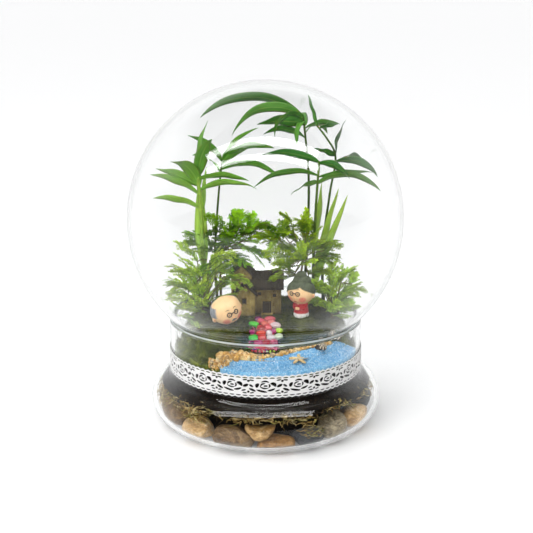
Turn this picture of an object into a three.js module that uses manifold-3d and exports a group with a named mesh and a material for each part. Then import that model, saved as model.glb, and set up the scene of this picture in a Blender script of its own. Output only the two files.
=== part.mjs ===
// A glass plant terrarium: a blown glass globe rests in the collar of a squat, bulged glass base.
// River pebbles ring the bulge, a layer of dried moss and dark soil lie over them, and a carpet of green
// moss carries a small farmhouse, two figurines, a path of glass gems, a beach of blue sand with gravel,
// a starfish and snail shells, clumps of spikemoss and young parlour palms. Lace is tied round the collar.
// Millimetres, +Z up, origin at the centre of the base's foot. The front of the scene faces -Y.
import * as THREE from "three";
import { mergeVertices } from "three/addons/utils/BufferGeometryUtils.js";
import Module from "manifold-3d";

const wasm = await Module();
wasm.setup();

// Driving dimensions
const GLOBE_RADIUS = 90;
const GLOBE_CENTRE_Z = 137;
const GLOBE_WALL = 2.4;
const NECK_RADIUS = 59.4; // outside of the globe's short neck, which hangs inside the collar
const NECK_END_Z = 60;
const BASE_WALL = 2.6;
const COLLAR_RADIUS = 63.7;
const COLLAR_FOOT_Z = 37; // where the collar leaves the bulge's shoulder
const BULGE_RING_RADIUS = 58.8; // the bulge is half an ellipse swept at this radius
const BULGE_HALF_WIDTH = 18;
const BULGE_HALF_HEIGHT = 17;
const LACE_LOW_Z = 36.4;
const LACE_HIGH_Z = 52.4;
const LACE_THICKNESS = 0.6;
const CLEARANCE = 0.3; // left between pieces that touch
const GLASS_SIDES = 30;
const SLIVER = 0.2; // detail finer than this is dropped where small shapes are fused
const SOIL_TOP_Z = 48;
const WALL_GROUND_Z = 53.5; // the moss where it meets the glass
const BEACH_GROUND_Z = 55;
const TERRACE_GROUND_Z = 69.5; // the level ground that carries the house

const COLLAR_BORE = COLLAR_RADIUS - BASE_WALL;
const FILL_RADIUS = COLLAR_BORE - CLEARANCE;
const GLOBE_BORE = GLOBE_RADIUS - GLOBE_WALL;
const DEG = Math.PI / 180;

const COLOURS = {
  glass: [0xe9f1f0, 0.03, 0],
  lace: [0xf2f0f4, 0.85, 0],
  soil: [0x1d1815, 0.95, 0],
  driedMoss: [0x9a8455, 0.95, 0],
  moss: [0x4d5f22, 0.95, 0],
  sand: [0x4aa0dc, 0.8, 0],
  gravel: [0xc49a5e, 0.6, 0],
  starfish: [0xe2c48c, 0.8, 0],
  shell: [0x8d7758, 0.5, 0],
  gems: [0xc8324a, 0.15, 0],
  house: [0xb08c4a, 0.85, 0],
  skin: [0xeebd8a, 0.5, 0],
  redCoat: [0xb3202c, 0.5, 0],
  palm: [0x4f8a2a, 0.45, 0],
  spikemoss: [0x5c9a26, 0.6, 0],
};
const PEBBLE_TONES = [0xb89264, 0x7d6446, 0x9c7447, 0x54545a, 0x8d8068, 0xc9a878, 0x3c3e40, 0x6f5c48];

const group = new THREE.Group();

// A repeatable stream of numbers from 0 to 1.
function seeded(seed) {
  let state = seed;
  return () => {
    state = (state * 1664525 + 1013904223) % 4294967296;
    return state / 4294967296;
  };
}

function smoothstep(low, high, value) {
  const t = Math.min(1, Math.max(0, (value - low) / (high - low)));
  return t * t * (3 - 2 * t);
}

// Turns a closed three.js geometry into a solid that can be cut and joined.
function solid(geometry) {
  const bare = geometry.clone();
  bare.deleteAttribute("normal");
  bare.deleteAttribute("uv");
  const merged = mergeVertices(bare, 1e-4);
  return new wasm.Manifold(
    new wasm.Mesh({
      numProp: 3,
      vertProperties: new Float32Array(merged.attributes.position.array),
      triVerts: new Uint32Array(merged.index.array),
    }),
  );
}

// The largest of the bodies a solid falls into: what a cut left loose is dropped.
function largest(shape) {
  const bodies = shape.decompose();
  return bodies.reduce((best, body) => (body.volume() > best.volume() ? body : best));
}

function joined(shapes) {
  return shapes.reduce((all, shape) => all.add(shape));
}

function add(name, shape, [color, roughness, metalness]) {
  const { numProp, numVert, vertProperties, triVerts } = shape.getMesh();
  const position = new Float32Array(numVert * 3);
  for (let i = 0; i < numVert; i++) {
    position.set(vertProperties.subarray(i * numProp, i * numProp + 3), i * 3);
  }
  const geometry = new THREE.BufferGeometry()
    .setAttribute("position", new THREE.BufferAttribute(position, 3))
    .setIndex(new THREE.BufferAttribute(triVerts, 1));
  geometry.computeVertexNormals();
  const mesh = new THREE.Mesh(geometry, new THREE.MeshStandardMaterial({ color, roughness, metalness }));
  mesh.name = name;
  group.add(mesh);
}

// A solid of revolution about Z from [radius, height] points, listed up the outside and back down the inside.
function turned(profile, sides = GLASS_SIDES) {
  const points = profile.map(([radius, height]) => new THREE.Vector2(radius, height));
  return solid(new THREE.LatheGeometry(points, sides).rotateX(Math.PI / 2));
}

// Points on an arc of an ellipse about [centreR, centreZ], from angle a to angle b in degrees.
function arc(centreR, centreZ, halfR, halfZ, a, b, steps) {
  return Array.from({ length: steps + 1 }, (_, i) => {
    const angle = (a + ((b - a) * i) / steps) * DEG;
    return [centreR + halfR * Math.cos(angle), centreZ + halfZ * Math.sin(angle)];
  });
}

function ball(x, y, z, halfX, halfY, halfZ, across = 12, down = 8) {
  return solid(new THREE.SphereGeometry(1, across, down).scale(halfX, halfY, halfZ).translate(x, y, z));
}

function block(x0, x1, y0, y1, z0, z1) {
  const box = new THREE.BoxGeometry(x1 - x0, y1 - y0, z1 - z0);
  return solid(box.translate((x0 + x1) / 2, (y0 + y1) / 2, (z0 + z1) / 2));
}

function rod(x, y, z0, z1, radius, sides = 8) {
  const cylinder = new THREE.CylinderGeometry(radius, radius, z1 - z0, sides).rotateX(Math.PI / 2);
  return solid(cylinder.translate(x, y, (z0 + z1) / 2));
}

// A flat outline in X and Y, extruded from z0 to z1.
function slab(outline, z0, z1) {
  const shape = new THREE.Shape(outline.map(([x, y]) => new THREE.Vector2(x, y)));
  return solid(new THREE.ExtrudeGeometry(shape, { depth: z1 - z0, bevelEnabled: false }).translate(0, 0, z0));
}

// A point on the floor of the scene, from an angle off the front (positive to the right) and a radius.
function around(angleDeg, radius) {
  return [radius * Math.sin(angleDeg * DEG), -radius * Math.cos(angleDeg * DEG)];
}

// The glass base, whose bulge holds the pebbles and whose collar holds the soil and the moss
const SEAT_RADIUS = GLOBE_RADIUS + 0.35; // the rim is ground to a cone that follows the globe
function seatZ(radius) {
  return GLOBE_CENTRE_Z - Math.sqrt(SEAT_RADIUS ** 2 - radius ** 2);
}
const INNER_HALF_WIDTH = BULGE_HALF_WIDTH - BASE_WALL;
const INNER_HALF_HEIGHT = BULGE_HALF_HEIGHT - BASE_WALL;
const SHOULDER_ANGLE = 62; // degrees round the bulge's ellipse where the fillet to the collar starts

function cavityProfile(inset) {
  const shoulder = arc(
    BULGE_RING_RADIUS, BULGE_HALF_HEIGHT, INNER_HALF_WIDTH - inset, INNER_HALF_HEIGHT - inset,
    -90, SHOULDER_ANGLE, 7,
  );
  return [
    [0, BASE_WALL + inset],
    ...shoulder,
    [COLLAR_BORE + 1.2 - inset, COLLAR_FOOT_Z - 4.6],
    [COLLAR_BORE - inset, COLLAR_FOOT_Z - 1],
  ];
}

function glassBase() {
  const outside = [
    [0, 0],
    [BULGE_RING_RADIUS - 4, 0],
    ...arc(BULGE_RING_RADIUS, BULGE_HALF_HEIGHT, BULGE_HALF_WIDTH, BULGE_HALF_HEIGHT, -84, SHOULDER_ANGLE, 8),
    [COLLAR_RADIUS + 1.5, COLLAR_FOOT_Z - 3.6],
    [COLLAR_RADIUS + 0.3, COLLAR_FOOT_Z - 1.4],
    [COLLAR_RADIUS, COLLAR_FOOT_Z],
    [COLLAR_RADIUS, seatZ(COLLAR_RADIUS) - 1.2],
    [COLLAR_RADIUS - 0.7, seatZ(COLLAR_RADIUS - 0.7)],
    [COLLAR_BORE, seatZ(COLLAR_BORE)],
  ];
  return turned([...outside, ...cavityProfile(0).reverse()]);
}
add("glass_base", glassBase(), COLOURS.glass);

// The globe, down its outside to the neck that drops into the collar, and back up its inside
function glassGlobe() {
  const leaveAngle = -46.5; // degrees below the equator where the sphere turns into the neck
  const outside = arc(0, GLOBE_CENTRE_Z, GLOBE_RADIUS, GLOBE_RADIUS, 90, leaveAngle, 11);
  const inside = arc(0, GLOBE_CENTRE_Z, GLOBE_BORE, GLOBE_BORE, leaveAngle - 1, 90, 10);
  outside[0][0] = 0;
  inside[inside.length - 1][0] = 0;
  const neckTop = GLOBE_CENTRE_Z + GLOBE_RADIUS * Math.sin(leaveAngle * DEG) - 3.4;
  const profile = [
    ...outside,
    [NECK_RADIUS, neckTop],
    [NECK_RADIUS, NECK_END_Z + 0.8],
    [NECK_RADIUS - GLOBE_WALL / 2, NECK_END_Z],
    [NECK_RADIUS - GLOBE_WALL, NECK_END_Z + 0.8],
    [NECK_RADIUS - GLOBE_WALL, neckTop],
    ...inside,
  ];
  return turned(profile.reverse());
}
add("glass_globe", glassGlobe(), COLOURS.glass);

// The lace ribbon round the foot of the collar
function laceRibbon() {
  const inner = COLLAR_RADIUS + CLEARANCE;
  const outer = inner + LACE_THICKNESS;
  return turned([
    [outer, LACE_LOW_Z + 1],
    [outer, LACE_HIGH_Z],
    [inner, LACE_HIGH_Z],
    [inner, LACE_LOW_Z + 1],
    [outer, LACE_LOW_Z + 1],
  ]);
}
add("lace_ribbon", laceRibbon(), COLOURS.lace);

// The river pebbles that stand in a ring inside the bulge.
// Each has its angle from the front, the radius and height of its middle, its half sizes along the ring,
// across it and up, and its tone.
const PEBBLES = [
  [-42.5, 63.6, 10.6, 9.8, 8.6, 7.1, 5],
  [-18.5, 63, 9.8, 12.4, 9, 6.3, 1],
  [-3.2, 62.6, 15.7, 8.6, 6.2, 4, 0],
  [5.6, 63.6, 8.3, 11, 8.6, 4.7, 2],
  [24.6, 63.6, 9.4, 9.4, 8.6, 5.8, 3],
  [42.8, 62.6, 12.8, 9, 8.4, 9.2, 4],
  [66.5, 63, 10.6, 11.6, 8.3, 7, 5],
  [93, 62.6, 14, 12.8, 9, 10.4, 6],
  [115.6, 62.6, 12.4, 11.2, 8.3, 8.8, 7],
  [137, 62.6, 11.6, 11.2, 8.3, 8.2, 2],
  [158.8, 62.6, 12.8, 11.2, 8.3, 9.2, 4],
  [180.6, 62.6, 11.8, 11.2, 8.3, 8.4, 1],
  [202.4, 62.6, 12.6, 11.2, 8.3, 9, 5],
  [224.2, 62.6, 11.6, 11.2, 8.3, 8.2, 3],
  [246, 62.6, 12.8, 11.2, 8.3, 9.2, 0],
  [268.4, 62.8, 13.4, 11.4, 9, 9.8, 7],
  [292.6, 62.6, 12.2, 12, 9, 8.6, 1],
];
const PEBBLE_LUMPS = 0.07;
const pebbleRoom = turned([...cavityProfile(2 * CLEARANCE), [0, COLLAR_FOOT_Z - 1]], 2 * GLASS_SIDES);

function pebble([angle, radius, height, along, across, up], seed) {
  const random = seeded(seed);
  const phases = Array.from({ length: 4 }, () => 2 * Math.PI * random());
  const stone = new THREE.IcosahedronGeometry(1, 1);
  const point = new THREE.Vector3();
  const spots = stone.attributes.position;
  for (let i = 0; i < spots.count; i++) {
    point.fromBufferAttribute(spots, i).normalize();
    const lump =
      Math.sin(2.3 * point.x + phases[0]) * Math.sin(1.9 * point.y + phases[1]) +
      Math.sin(2.7 * point.z + phases[2]) * Math.sin(2.1 * point.x + phases[3]);
    point.multiplyScalar(1 + 0.5 * PEBBLE_LUMPS * (lump - 0.4));
    spots.setXYZ(i, point.x, point.y, point.z);
  }
  stone.scale(along, across, up).rotateZ(angle * DEG);
  const [x, y] = around(angle, radius);
  return largest(solid(stone.translate(x, y, height)).intersect(pebbleRoom)).simplify(SLIVER);
}
PEBBLES.forEach((row, i) => {
  add(`pebble_${i + 1}`, pebble(row, 71 + i), [PEBBLE_TONES[row[6]], 0.45, 0]);
});

// The dried moss that lies over the pebbles: a wavy ring under the bulge's shoulder
const DRIED_MOSS_Z = 25;
const DRIED_MOSS_THICKNESS = 2;
function driedMoss() {
  const sides = 24;
  const spans = 2;
  const low = 54;
  const position = [];
  for (let i = 0; i < sides; i++) {
    const angle = (360 * i) / sides;
    const reach = 69 + 0.5 * Math.sin(5 * angle * DEG) + 0.3 * Math.sin(11 * angle * DEG);
    for (let j = 0; j <= spans; j++) {
      const [x, y] = around(angle, low + ((reach - low) * j) / spans);
      const wave = 0.35 * Math.sin(7 * angle * DEG + 2.4 * j);
      position.push(x, y, DRIED_MOSS_Z + wave + DRIED_MOSS_THICKNESS * (1 - 0.2 * j));
      position.push(x, y, DRIED_MOSS_Z + wave);
    }
  }
  return solid(bandGeometry(position, sides, spans));
}

// Faces of a closed ring whose sections hold a top and a bottom point at each of spans + 1 places.
function bandGeometry(position, sides, spans) {
  const index = [];
  const spot = (i, j, under) => ((i % sides) * (spans + 1) + j) * 2 + under;
  for (let i = 0; i < sides; i++) {
    for (let j = 0; j < spans; j++) {
      index.push(spot(i, j, 0), spot(i, j + 1, 0), spot(i + 1, j + 1, 0));
      index.push(spot(i, j, 0), spot(i + 1, j + 1, 0), spot(i + 1, j, 0));
      index.push(spot(i, j, 1), spot(i + 1, j + 1, 1), spot(i, j + 1, 1));
      index.push(spot(i, j, 1), spot(i + 1, j, 1), spot(i + 1, j + 1, 1));
    }
    index.push(spot(i, spans, 0), spot(i, spans, 1), spot(i + 1, spans, 1));
    index.push(spot(i, spans, 0), spot(i + 1, spans, 1), spot(i + 1, spans, 0));
    index.push(spot(i, 0, 0), spot(i + 1, 0, 1), spot(i, 0, 1));
    index.push(spot(i, 0, 0), spot(i + 1, 0, 0), spot(i + 1, 0, 1));
  }
  const geometry = new THREE.BufferGeometry();
  geometry.setAttribute("position", new THREE.BufferAttribute(new Float32Array(position), 3));
  return geometry.setIndex(index);
}
add("dried_moss", driedMoss(), COLOURS.driedMoss);

// The ground: steep at the beach in front, level on the terrace behind, and low where it meets the glass.
// Small level pads carry the figurines.
const MAN = { x: -25.5, y: -25, z: 62.4 };
const WOMAN = { x: 23.8, y: -6, z: 70.4 };
const FIGURE_PADS = [MAN, WOMAN];
const SEAT_PAD_RADIUS = 7.6;
function groundZ(x, y) {
  const radius = Math.hypot(x, y);
  const slope = BEACH_GROUND_Z + (TERRACE_GROUND_Z - BEACH_GROUND_Z) * smoothstep(-50, -2, y);
  let z = WALL_GROUND_Z + (slope - WALL_GROUND_Z) * smoothstep(FILL_RADIUS, FILL_RADIUS - 12, radius);
  for (const pad of FIGURE_PADS) {
    const near = smoothstep(12, 7, Math.hypot(x - pad.x, y - pad.y));
    z += (pad.z - z) * near;
  }
  return z;
}

// A disc of ground down to the level of the soil's top, from the ground's height at each point.
function groundDisc(rings, sides, lift) {
  const position = [0, 0, groundZ(0, 0) + lift];
  const index = [];
  const floor = SOIL_TOP_Z + CLEARANCE;
  const spot = (ring, i) => 1 + ring * sides + (i % sides);
  rings.forEach((radius) => {
    for (let i = 0; i < sides; i++) {
      const [x, y] = around((360 * i) / sides, radius);
      position.push(x, y, groundZ(x, y) + lift);
    }
  });
  for (let i = 0; i < sides; i++) {
    const [x, y] = around((360 * i) / sides, rings[rings.length - 1]);
    position.push(x, y, floor);
  }
  const under = rings.length;
  const middle = position.length / 3;
  position.push(0, 0, floor);
  for (let i = 0; i < sides; i++) {
    index.push(0, spot(0, i), spot(0, i + 1));
    for (let ring = 0; ring < under; ring++) {
      index.push(spot(ring, i), spot(ring + 1, i), spot(ring + 1, i + 1));
      index.push(spot(ring, i), spot(ring + 1, i + 1), spot(ring, i + 1));
    }
    index.push(middle, spot(under, i + 1), spot(under, i));
  }
  const geometry = new THREE.BufferGeometry();
  geometry.setAttribute("position", new THREE.BufferAttribute(new Float32Array(position), 3));
  return solid(geometry.setIndex(index));
}

// The beach's edge against the moss, from left to right, closed round the front outside the glass
const BEACH_EDGE = [
  [-27, -52], [-20, -47.5], [-4, -46], [10, -41.5], [27, -34], [39, -28.5], [47, -23], [58, -15],
];
const BEACH_FRONT = [[80, -15], [80, -80], [-27, -80]];
const beachRoom = slab([...BEACH_EDGE, ...BEACH_FRONT].reverse(), SOIL_TOP_Z - 5, TERRACE_GROUND_Z + 10);
const beachCutEdge = BEACH_EDGE.map(([x, y]) => [x - 0.15, y + CLEARANCE]);
const beachCut = slab(
  [...beachCutEdge, [80.5, -14.7], [80.5, -80], [-27.3, -80]].reverse(),
  SOIL_TOP_Z - 5, TERRACE_GROUND_Z + 10,
);

// Where each plant's stem stands, and the stem's radius there: x, y, radius
const FEET = {
  palmLeftNear: [-41, 25, 1.9], palmLeftFar: [-34, 32, 1], palmRightTall: [27, 33, 1.1],
  palmRightSide: [40, 26, 1], palmRightMid: [33, 21, 1.2],
  spikemossLeft: [-42, 1, 1.3], spikemossBlock: [-31, 25, 1.3], spikemossArch: [21, 18, 1.3],
  spikemossRight: [45, -2, 1.3],
};
const ROOT_Z = 43.5;
const HOLE_SIDES = 6;
const rootHoles = joined(
  Object.values(FEET).map(([x, y, radius]) => {
    const hole = (radius + CLEARANCE) / Math.cos(Math.PI / HOLE_SIDES);
    return rod(x, y, ROOT_Z - CLEARANCE, TERRACE_GROUND_Z + 8, hole, HOLE_SIDES);
  }),
);

// A cushion of moss stands round the man up to the chin, and runs out further to the front and to the left.
const CUSHION_TOP_Z = 74;
function mossCushion() {
  const profile = [[0, SOIL_TOP_Z + 2], [12.2, SOIL_TOP_Z + 2], [12.2, 60], [10.6, 70], [8.6, CUSHION_TOP_Z]];
  return turned([...profile, [0, CUSHION_TOP_Z]], 16).warp((point) => {
    point[0] = MAN.x + point[0] * (point[0] < 0 ? 1.4 : 1);
    point[1] = MAN.y + point[1] * (point[1] < 0 ? 1.45 : 1.2);
  });
}
function mossCarpet() {
  const disc = groundDisc([18, 31, 42, 48, 54, FILL_RADIUS], GLASS_SIDES, 0);
  const seats = FIGURE_PADS.map(({ x, y, z }) => rod(x, y, z, z + 13, SEAT_PAD_RADIUS, 12));
  const ground = disc.add(mossCushion());
  return largest(ground.subtract(beachCut).subtract(joined(seats)).subtract(rootHoles));
}
const moss = mossCarpet();
add("moss_carpet", moss, COLOURS.moss);

function blueSand() {
  const disc = groundDisc([20, 32, 42, 48, 54, FILL_RADIUS], GLASS_SIDES, -0.4);
  return largest(disc.intersect(beachRoom));
}
const sand = blueSand();
add("blue_sand", sand, COLOURS.sand);

// Lowers a shape onto the moss and the sand, to the clearance between pieces that touch.
function seated(shape) {
  const ground = moss.add(sand).translate([0, 0, CLEARANCE]);
  let [clear, sunk] = [20, -20];
  for (let i = 0; i < 12; i++) {
    const middle = (clear + sunk) / 2;
    if (shape.translate([0, 0, middle]).intersect(ground).isEmpty()) clear = middle;
    else sunk = middle;
  }
  return shape.translate([0, 0, clear]);
}

// The soil fills the collar, spreads over the dried moss under the shoulder, and stands on the glass floor
// inside the ring of pebbles.
function soil() {
  const underZ = DRIED_MOSS_Z + DRIED_MOSS_THICKNESS + 0.7;
  const inset = 0.4;
  const shoulder = arc(
    BULGE_RING_RADIUS, BULGE_HALF_HEIGHT, INNER_HALF_WIDTH - inset, INNER_HALF_HEIGHT - inset,
    50, SHOULDER_ANGLE, 2,
  );
  return turned([
    [0, BASE_WALL + CLEARANCE],
    [51.5, BASE_WALL + CLEARANCE],
    [51.5, DRIED_MOSS_Z - 2],
    [53.2, underZ],
    [67.8, underZ],
    ...shoulder,
    [COLLAR_BORE + 1.2 - inset, COLLAR_FOOT_Z - 4.6],
    [FILL_RADIUS, COLLAR_FOOT_Z - 1],
    [FILL_RADIUS, SOIL_TOP_Z],
    [0, SOIL_TOP_Z],
  ]).subtract(rootHoles);
}
add("potting_soil", soil(), COLOURS.soil);

// A band of small gravel stones heaped along the beach's edge
function gravelBorder() {
  const random = seeded(5);
  const edge = new THREE.CatmullRomCurve3(BEACH_EDGE.slice(0, 7).map(([x, y]) => new THREE.Vector3(x, y, 0)));
  const stones = [];
  const count = 16;
  for (let i = 0; i < count; i++) {
    const along = i / (count - 1);
    const spot = edge.getPointAt(0.06 + 0.68 * along);
    const heaped = along < 0.5; // the heap is broader and coarser at its left end
    const size = (heaped ? 4.8 : 4) * (0.9 + 0.25 * random());
    const x = spot.x;
    const y = spot.y + (heaped && i % 2 ? 1.6 : 0) - 0.4;
    const stone = new THREE.BoxGeometry(size * 1.15, size, size * 0.8);
    stone.rotateX(0.8 * random() - 0.4).rotateY(0.8 * random() - 0.4).rotateZ(3 * random());
    stones.push(solid(stone.translate(x, y, groundZ(x, y + 2))));
  }
  return seated(joined(stones).simplify(SLIVER));
}
add("gravel_border", gravelBorder(), COLOURS.gravel);

// The starfish that lies on the sand, tilted with the slope
const STARFISH = { x: 21, y: -46.2, reach: 6.6, waist: 2.1, thickness: 1.2, tilt: 18 };
function starfish() {
  const outline = [];
  for (let i = 0; i < 10; i++) {
    const reach = i % 2 ? STARFISH.waist : STARFISH.reach * (i === 4 ? 0.88 : 1);
    const angle = (90 + 36 * i + 8) * DEG;
    if (i % 2) {
      outline.push([reach * Math.cos(angle), reach * Math.sin(angle)]);
    } else {
      outline.push([reach * Math.cos(angle - 0.1), reach * Math.sin(angle - 0.1)]);
      outline.push([reach * Math.cos(angle + 0.1), reach * Math.sin(angle + 0.1)]);
    }
  }
  const shape = new THREE.Shape(outline.map(([x, y]) => new THREE.Vector2(x, y)));
  const body = new THREE.ExtrudeGeometry(shape, { depth: STARFISH.thickness, bevelEnabled: false });
  const lift = groundZ(STARFISH.x, STARFISH.y);
  return seated(solid(body.rotateX(STARFISH.tilt * DEG).translate(STARFISH.x, STARFISH.y, lift)));
}
add("starfish", starfish(), COLOURS.starfish);

// Snail shells: whorls that step up to a low point, and the round lip of the opening at one side
const SHELLS = [
  { x: 35.6, y: -36.6, size: 4.2, turn: 20 },
  { x: 44, y: -24.6, size: 4, turn: 200 },
  { x: 36, y: -27.6, size: 2.4, turn: 90 },
];
function snailShell({ x, y, size, turn }) {
  const whorls = [
    [0, -0.62], [0.6, -0.58], [0.97, -0.1], [0.7, 0.36], [0.52, 0.36], [0.4, 0.66], [0, 0.88],
  ];
  const body = turned(whorls.map(([radius, height]) => [radius * size, height * size]), 8);
  const lip = ball(0.72 * size, -0.35 * size, -0.14 * size, 0.5 * size, 0.5 * size, 0.46 * size, 6, 4);
  return seated(body.add(lip).rotate([14, 0, turn]).translate([x, y, groundZ(x, y)]));
}
SHELLS.forEach((shell, i) => add(`snail_shell_${i + 1}`, snailShell(shell), COLOURS.shell));

// The garden path: flat glass gems set side by side in a thin bed, from the house door down to the beach
const PATH_ROWS = [
  [1, -5, 2], [0.5, -10.8, 3], [-0.5, -16.6, 4], [-1, -22.4, 4], [-1.5, -28.2, 4], [-2, -34, 4],
];
const GEM_PITCH = 5.2;
const BED_THICKNESS = 1;
function pathBed() {
  const position = [];
  const index = [];
  const ends = [[1, -3.6, 1.6], ...PATH_ROWS, [-2, -38.4, 3]];
  ends.forEach(([middle, y, count]) => {
    const half = (count / 2) * GEM_PITCH - 0.9;
    for (const side of [-1, 1]) {
      const floor = groundZ(middle, y) + 2 * CLEARANCE;
      position.push(middle + side * half, y, floor, middle + side * half, y, floor + BED_THICKNESS);
    }
  });
  const [LOW_LEFT, TOP_LEFT, LOW_RIGHT, TOP_RIGHT] = [0, 1, 2, 3];
  const ring = [LOW_LEFT, LOW_RIGHT, TOP_RIGHT, TOP_LEFT];
  for (let i = 0; i < ends.length - 1; i++) {
    ring.forEach((from, k) => {
      const to = ring[(k + 1) % 4];
      const [a, b, c, d] = [4 * i + from, 4 * i + to, 4 * i + 4 + to, 4 * i + 4 + from];
      index.push(a, b, c, a, c, d);
    });
  }
  const end = 4 * (ends.length - 1);
  index.push(0, 3, 2, 0, 1, 3, end, end + 2, end + 3, end, end + 3, end + 1);
  const geometry = new THREE.BufferGeometry();
  geometry.setAttribute("position", new THREE.BufferAttribute(new Float32Array(position), 3));
  return solid(geometry.setIndex(index));
}
function gemPath() {
  const random = seeded(12);
  const gems = [];
  for (const [middle, y, count] of PATH_ROWS) {
    for (let i = 0; i < count; i++) {
      const x = middle + (i - (count - 1) / 2) * GEM_PITCH;
      const gem = new THREE.OctahedronGeometry(1, 0).rotateZ(0.785 + 0.5 * (random() - 0.5));
      gem.scale(3.2 + 0.3 * random(), 3.3 + 0.3 * random(), 1.9);
      gems.push(solid(gem.translate(x, y, groundZ(middle, y) + 2 * CLEARANCE + BED_THICKNESS + 0.95)));
    }
  }
  return joined([pathBed(), ...gems]).simplify(SLIVER);
}
add("gem_path", gemPath(), COLOURS.gems);

// The farmhouse: a tall gabled block at the back left, a low gabled annexe before it, and a long barn
const HOUSE_FLOOR_Z = TERRACE_GROUND_Z + CLEARANCE;
const THATCH = 1.6; // thickness of the thatch where it overhangs
const TOWER = { x0: -23, x1: -9, y0: 7, y1: 20, eaveZ: 99.5, ridgeZ: 106.8 };
const ANNEXE = { x0: -20.5, x1: -7, y0: 0.4, y1: 9, eaveZ: 85.5, ridgeZ: 92 };
const BARN = { x0: -9, x1: 10.6, y0: 5.2, y1: 18, eaveZ: 90, ridgeZ: 98.6 };

// Walls with a gable at each end, the ridge along Y, under a thatched roof with eaves.
function gableBlock({ x0, x1, y0, y1, eaveZ, ridgeZ }, eave) {
  const middle = (x0 + x1) / 2;
  const wall = new THREE.Shape([
    new THREE.Vector2(x0, HOUSE_FLOOR_Z), new THREE.Vector2(x1, HOUSE_FLOOR_Z),
    new THREE.Vector2(x1, eaveZ), new THREE.Vector2(middle, ridgeZ), new THREE.Vector2(x0, eaveZ),
  ]);
  const drop = ((ridgeZ - eaveZ) / (middle - x0)) * eave;
  const roof = new THREE.Shape([
    new THREE.Vector2(x0 - eave, eaveZ - drop), new THREE.Vector2(middle, ridgeZ - 0.2),
    new THREE.Vector2(x1 + eave, eaveZ - drop), new THREE.Vector2(x1 + eave, eaveZ - drop + THATCH),
    new THREE.Vector2(middle + 1.6, ridgeZ + THATCH - 0.9),
    new THREE.Vector2(middle - 1.6, ridgeZ + THATCH - 0.9),
    new THREE.Vector2(x0 - eave, eaveZ - drop + THATCH),
  ]);
  // An outline drawn in X and Z is extruded along Y by turning it up.
  const upright = (shape, from, to) => {
    const body = new THREE.ExtrudeGeometry(shape, { depth: to - from, bevelEnabled: false });
    return solid(body.rotateX(Math.PI / 2).translate(0, to, 0));
  };
  return upright(wall, y0, y1).add(upright(roof, y0 - eave, y1 + eave));
}

// A long block with its ridge along X, and the same thatch.
function barnBlock({ x0, x1, y0, y1, eaveZ, ridgeZ }, eave) {
  const middle = (y0 + y1) / 2;
  const drop = ((ridgeZ - eaveZ) / (middle - y0)) * eave;
  const wall = new THREE.Shape([
    new THREE.Vector2(y0, HOUSE_FLOOR_Z), new THREE.Vector2(y1, HOUSE_FLOOR_Z),
    new THREE.Vector2(y1, eaveZ), new THREE.Vector2(middle, ridgeZ), new THREE.Vector2(y0, eaveZ),
  ]);
  const roof = new THREE.Shape([
    new THREE.Vector2(y0 - eave, eaveZ - drop), new THREE.Vector2(middle, ridgeZ - 0.2),
    new THREE.Vector2(y1 + eave, eaveZ - drop), new THREE.Vector2(y1 + eave, eaveZ - drop + THATCH),
    new THREE.Vector2(middle + 1.8, ridgeZ + THATCH - 0.8),
    new THREE.Vector2(middle - 1.8, ridgeZ + THATCH - 0.8),
    new THREE.Vector2(y0 - eave, eaveZ - drop + THATCH),
  ]);
  // An outline drawn in Y and Z is extruded along X.
  const along = (shape, from, to) => {
    const body = new THREE.ExtrudeGeometry(shape, { depth: to - from, bevelEnabled: false });
    return solid(body.rotateX(Math.PI / 2).rotateZ(Math.PI / 2).translate(from, 0, 0));
  };
  return along(wall, x0, x1).add(along(roof, x0 + 0.6, x1 + eave));
}

// Openings are shallow recesses, each with a frame that stands a little proud of its wall.
const WINDOWS = [
  { x: -14.2, z: 80.6, wide: 2.8, tall: 3.8, wallY: ANNEXE.y0 },
  { x: -3.9, z: 84.4, wide: 2.8, tall: 2.8, wallY: BARN.y0 },
  { x: 6.1, z: 83.2, wide: 2.8, tall: 2.8, wallY: BARN.y0 },
];
const DOOR = { x: 1, z: HOUSE_FLOOR_Z + 4.9, wide: 6.2, tall: 9.2, wallY: BARN.y0 };

function opening({ x, z, wide, tall, wallY }, depth) {
  return block(x - wide / 2, x + wide / 2, wallY - 1, wallY + depth, z - tall / 2, z + tall / 2);
}
function farmhouse() {
  const body = joined([gableBlock(TOWER, 1.6), gableBlock(ANNEXE, 1.4), barnBlock(BARN, 1.7)]);
  const recessed = [...WINDOWS, DOOR].reduce((wall, hole) => wall.subtract(opening(hole, 0.8)), body);
  const [stepY, stepZ] = [BARN.y0 + 0.5, HOUSE_FLOOR_Z + 0.9];
  return recessed.add(block(DOOR.x - 4, DOOR.x + 4, BARN.y0 - 2.6, stepY, HOUSE_FLOOR_Z, stepZ));
}
add("farmhouse", farmhouse(), COLOURS.house);

// The two resin figurines: a big round head on a small robed body, with ears and round wire glasses
const HEAD_Z = 20.8; // the head's middle above the ground
const HEAD = { halfX: 9.9, halfY: 9.3, halfZ: 9.5 };
function robedBody(foot) {
  const robe = [
    [0, 0], [5.2, 0], [5.6, 2.6], [5.1, 6.5], [4.2, 11.5], [0, 13],
  ];
  const arms = [-1, 1].map((side) => ball(side * 3.9, -2.2, 7.4, 1.6, 2.7, 3, 6, 4));
  const hands = ball(0, -5, 6, 2.6, 1.5, 1.4, 6, 4);
  return joined([turned(robe, 10), ...arms, hands]).translate([0, 0, foot]);
}
function wireGlasses() {
  const front = -HEAD.halfY - 0.1;
  const rim = (x) => {
    return solid(new THREE.TorusGeometry(1.4, 0.35, 3, 8).rotateX(Math.PI / 2).translate(x, front, 0));
  };
  return joined([rim(-2.5), rim(2.5), block(-1.2, 1.2, front - 0.4, front + 1.5, -0.3, 0.3)]);
}
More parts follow.
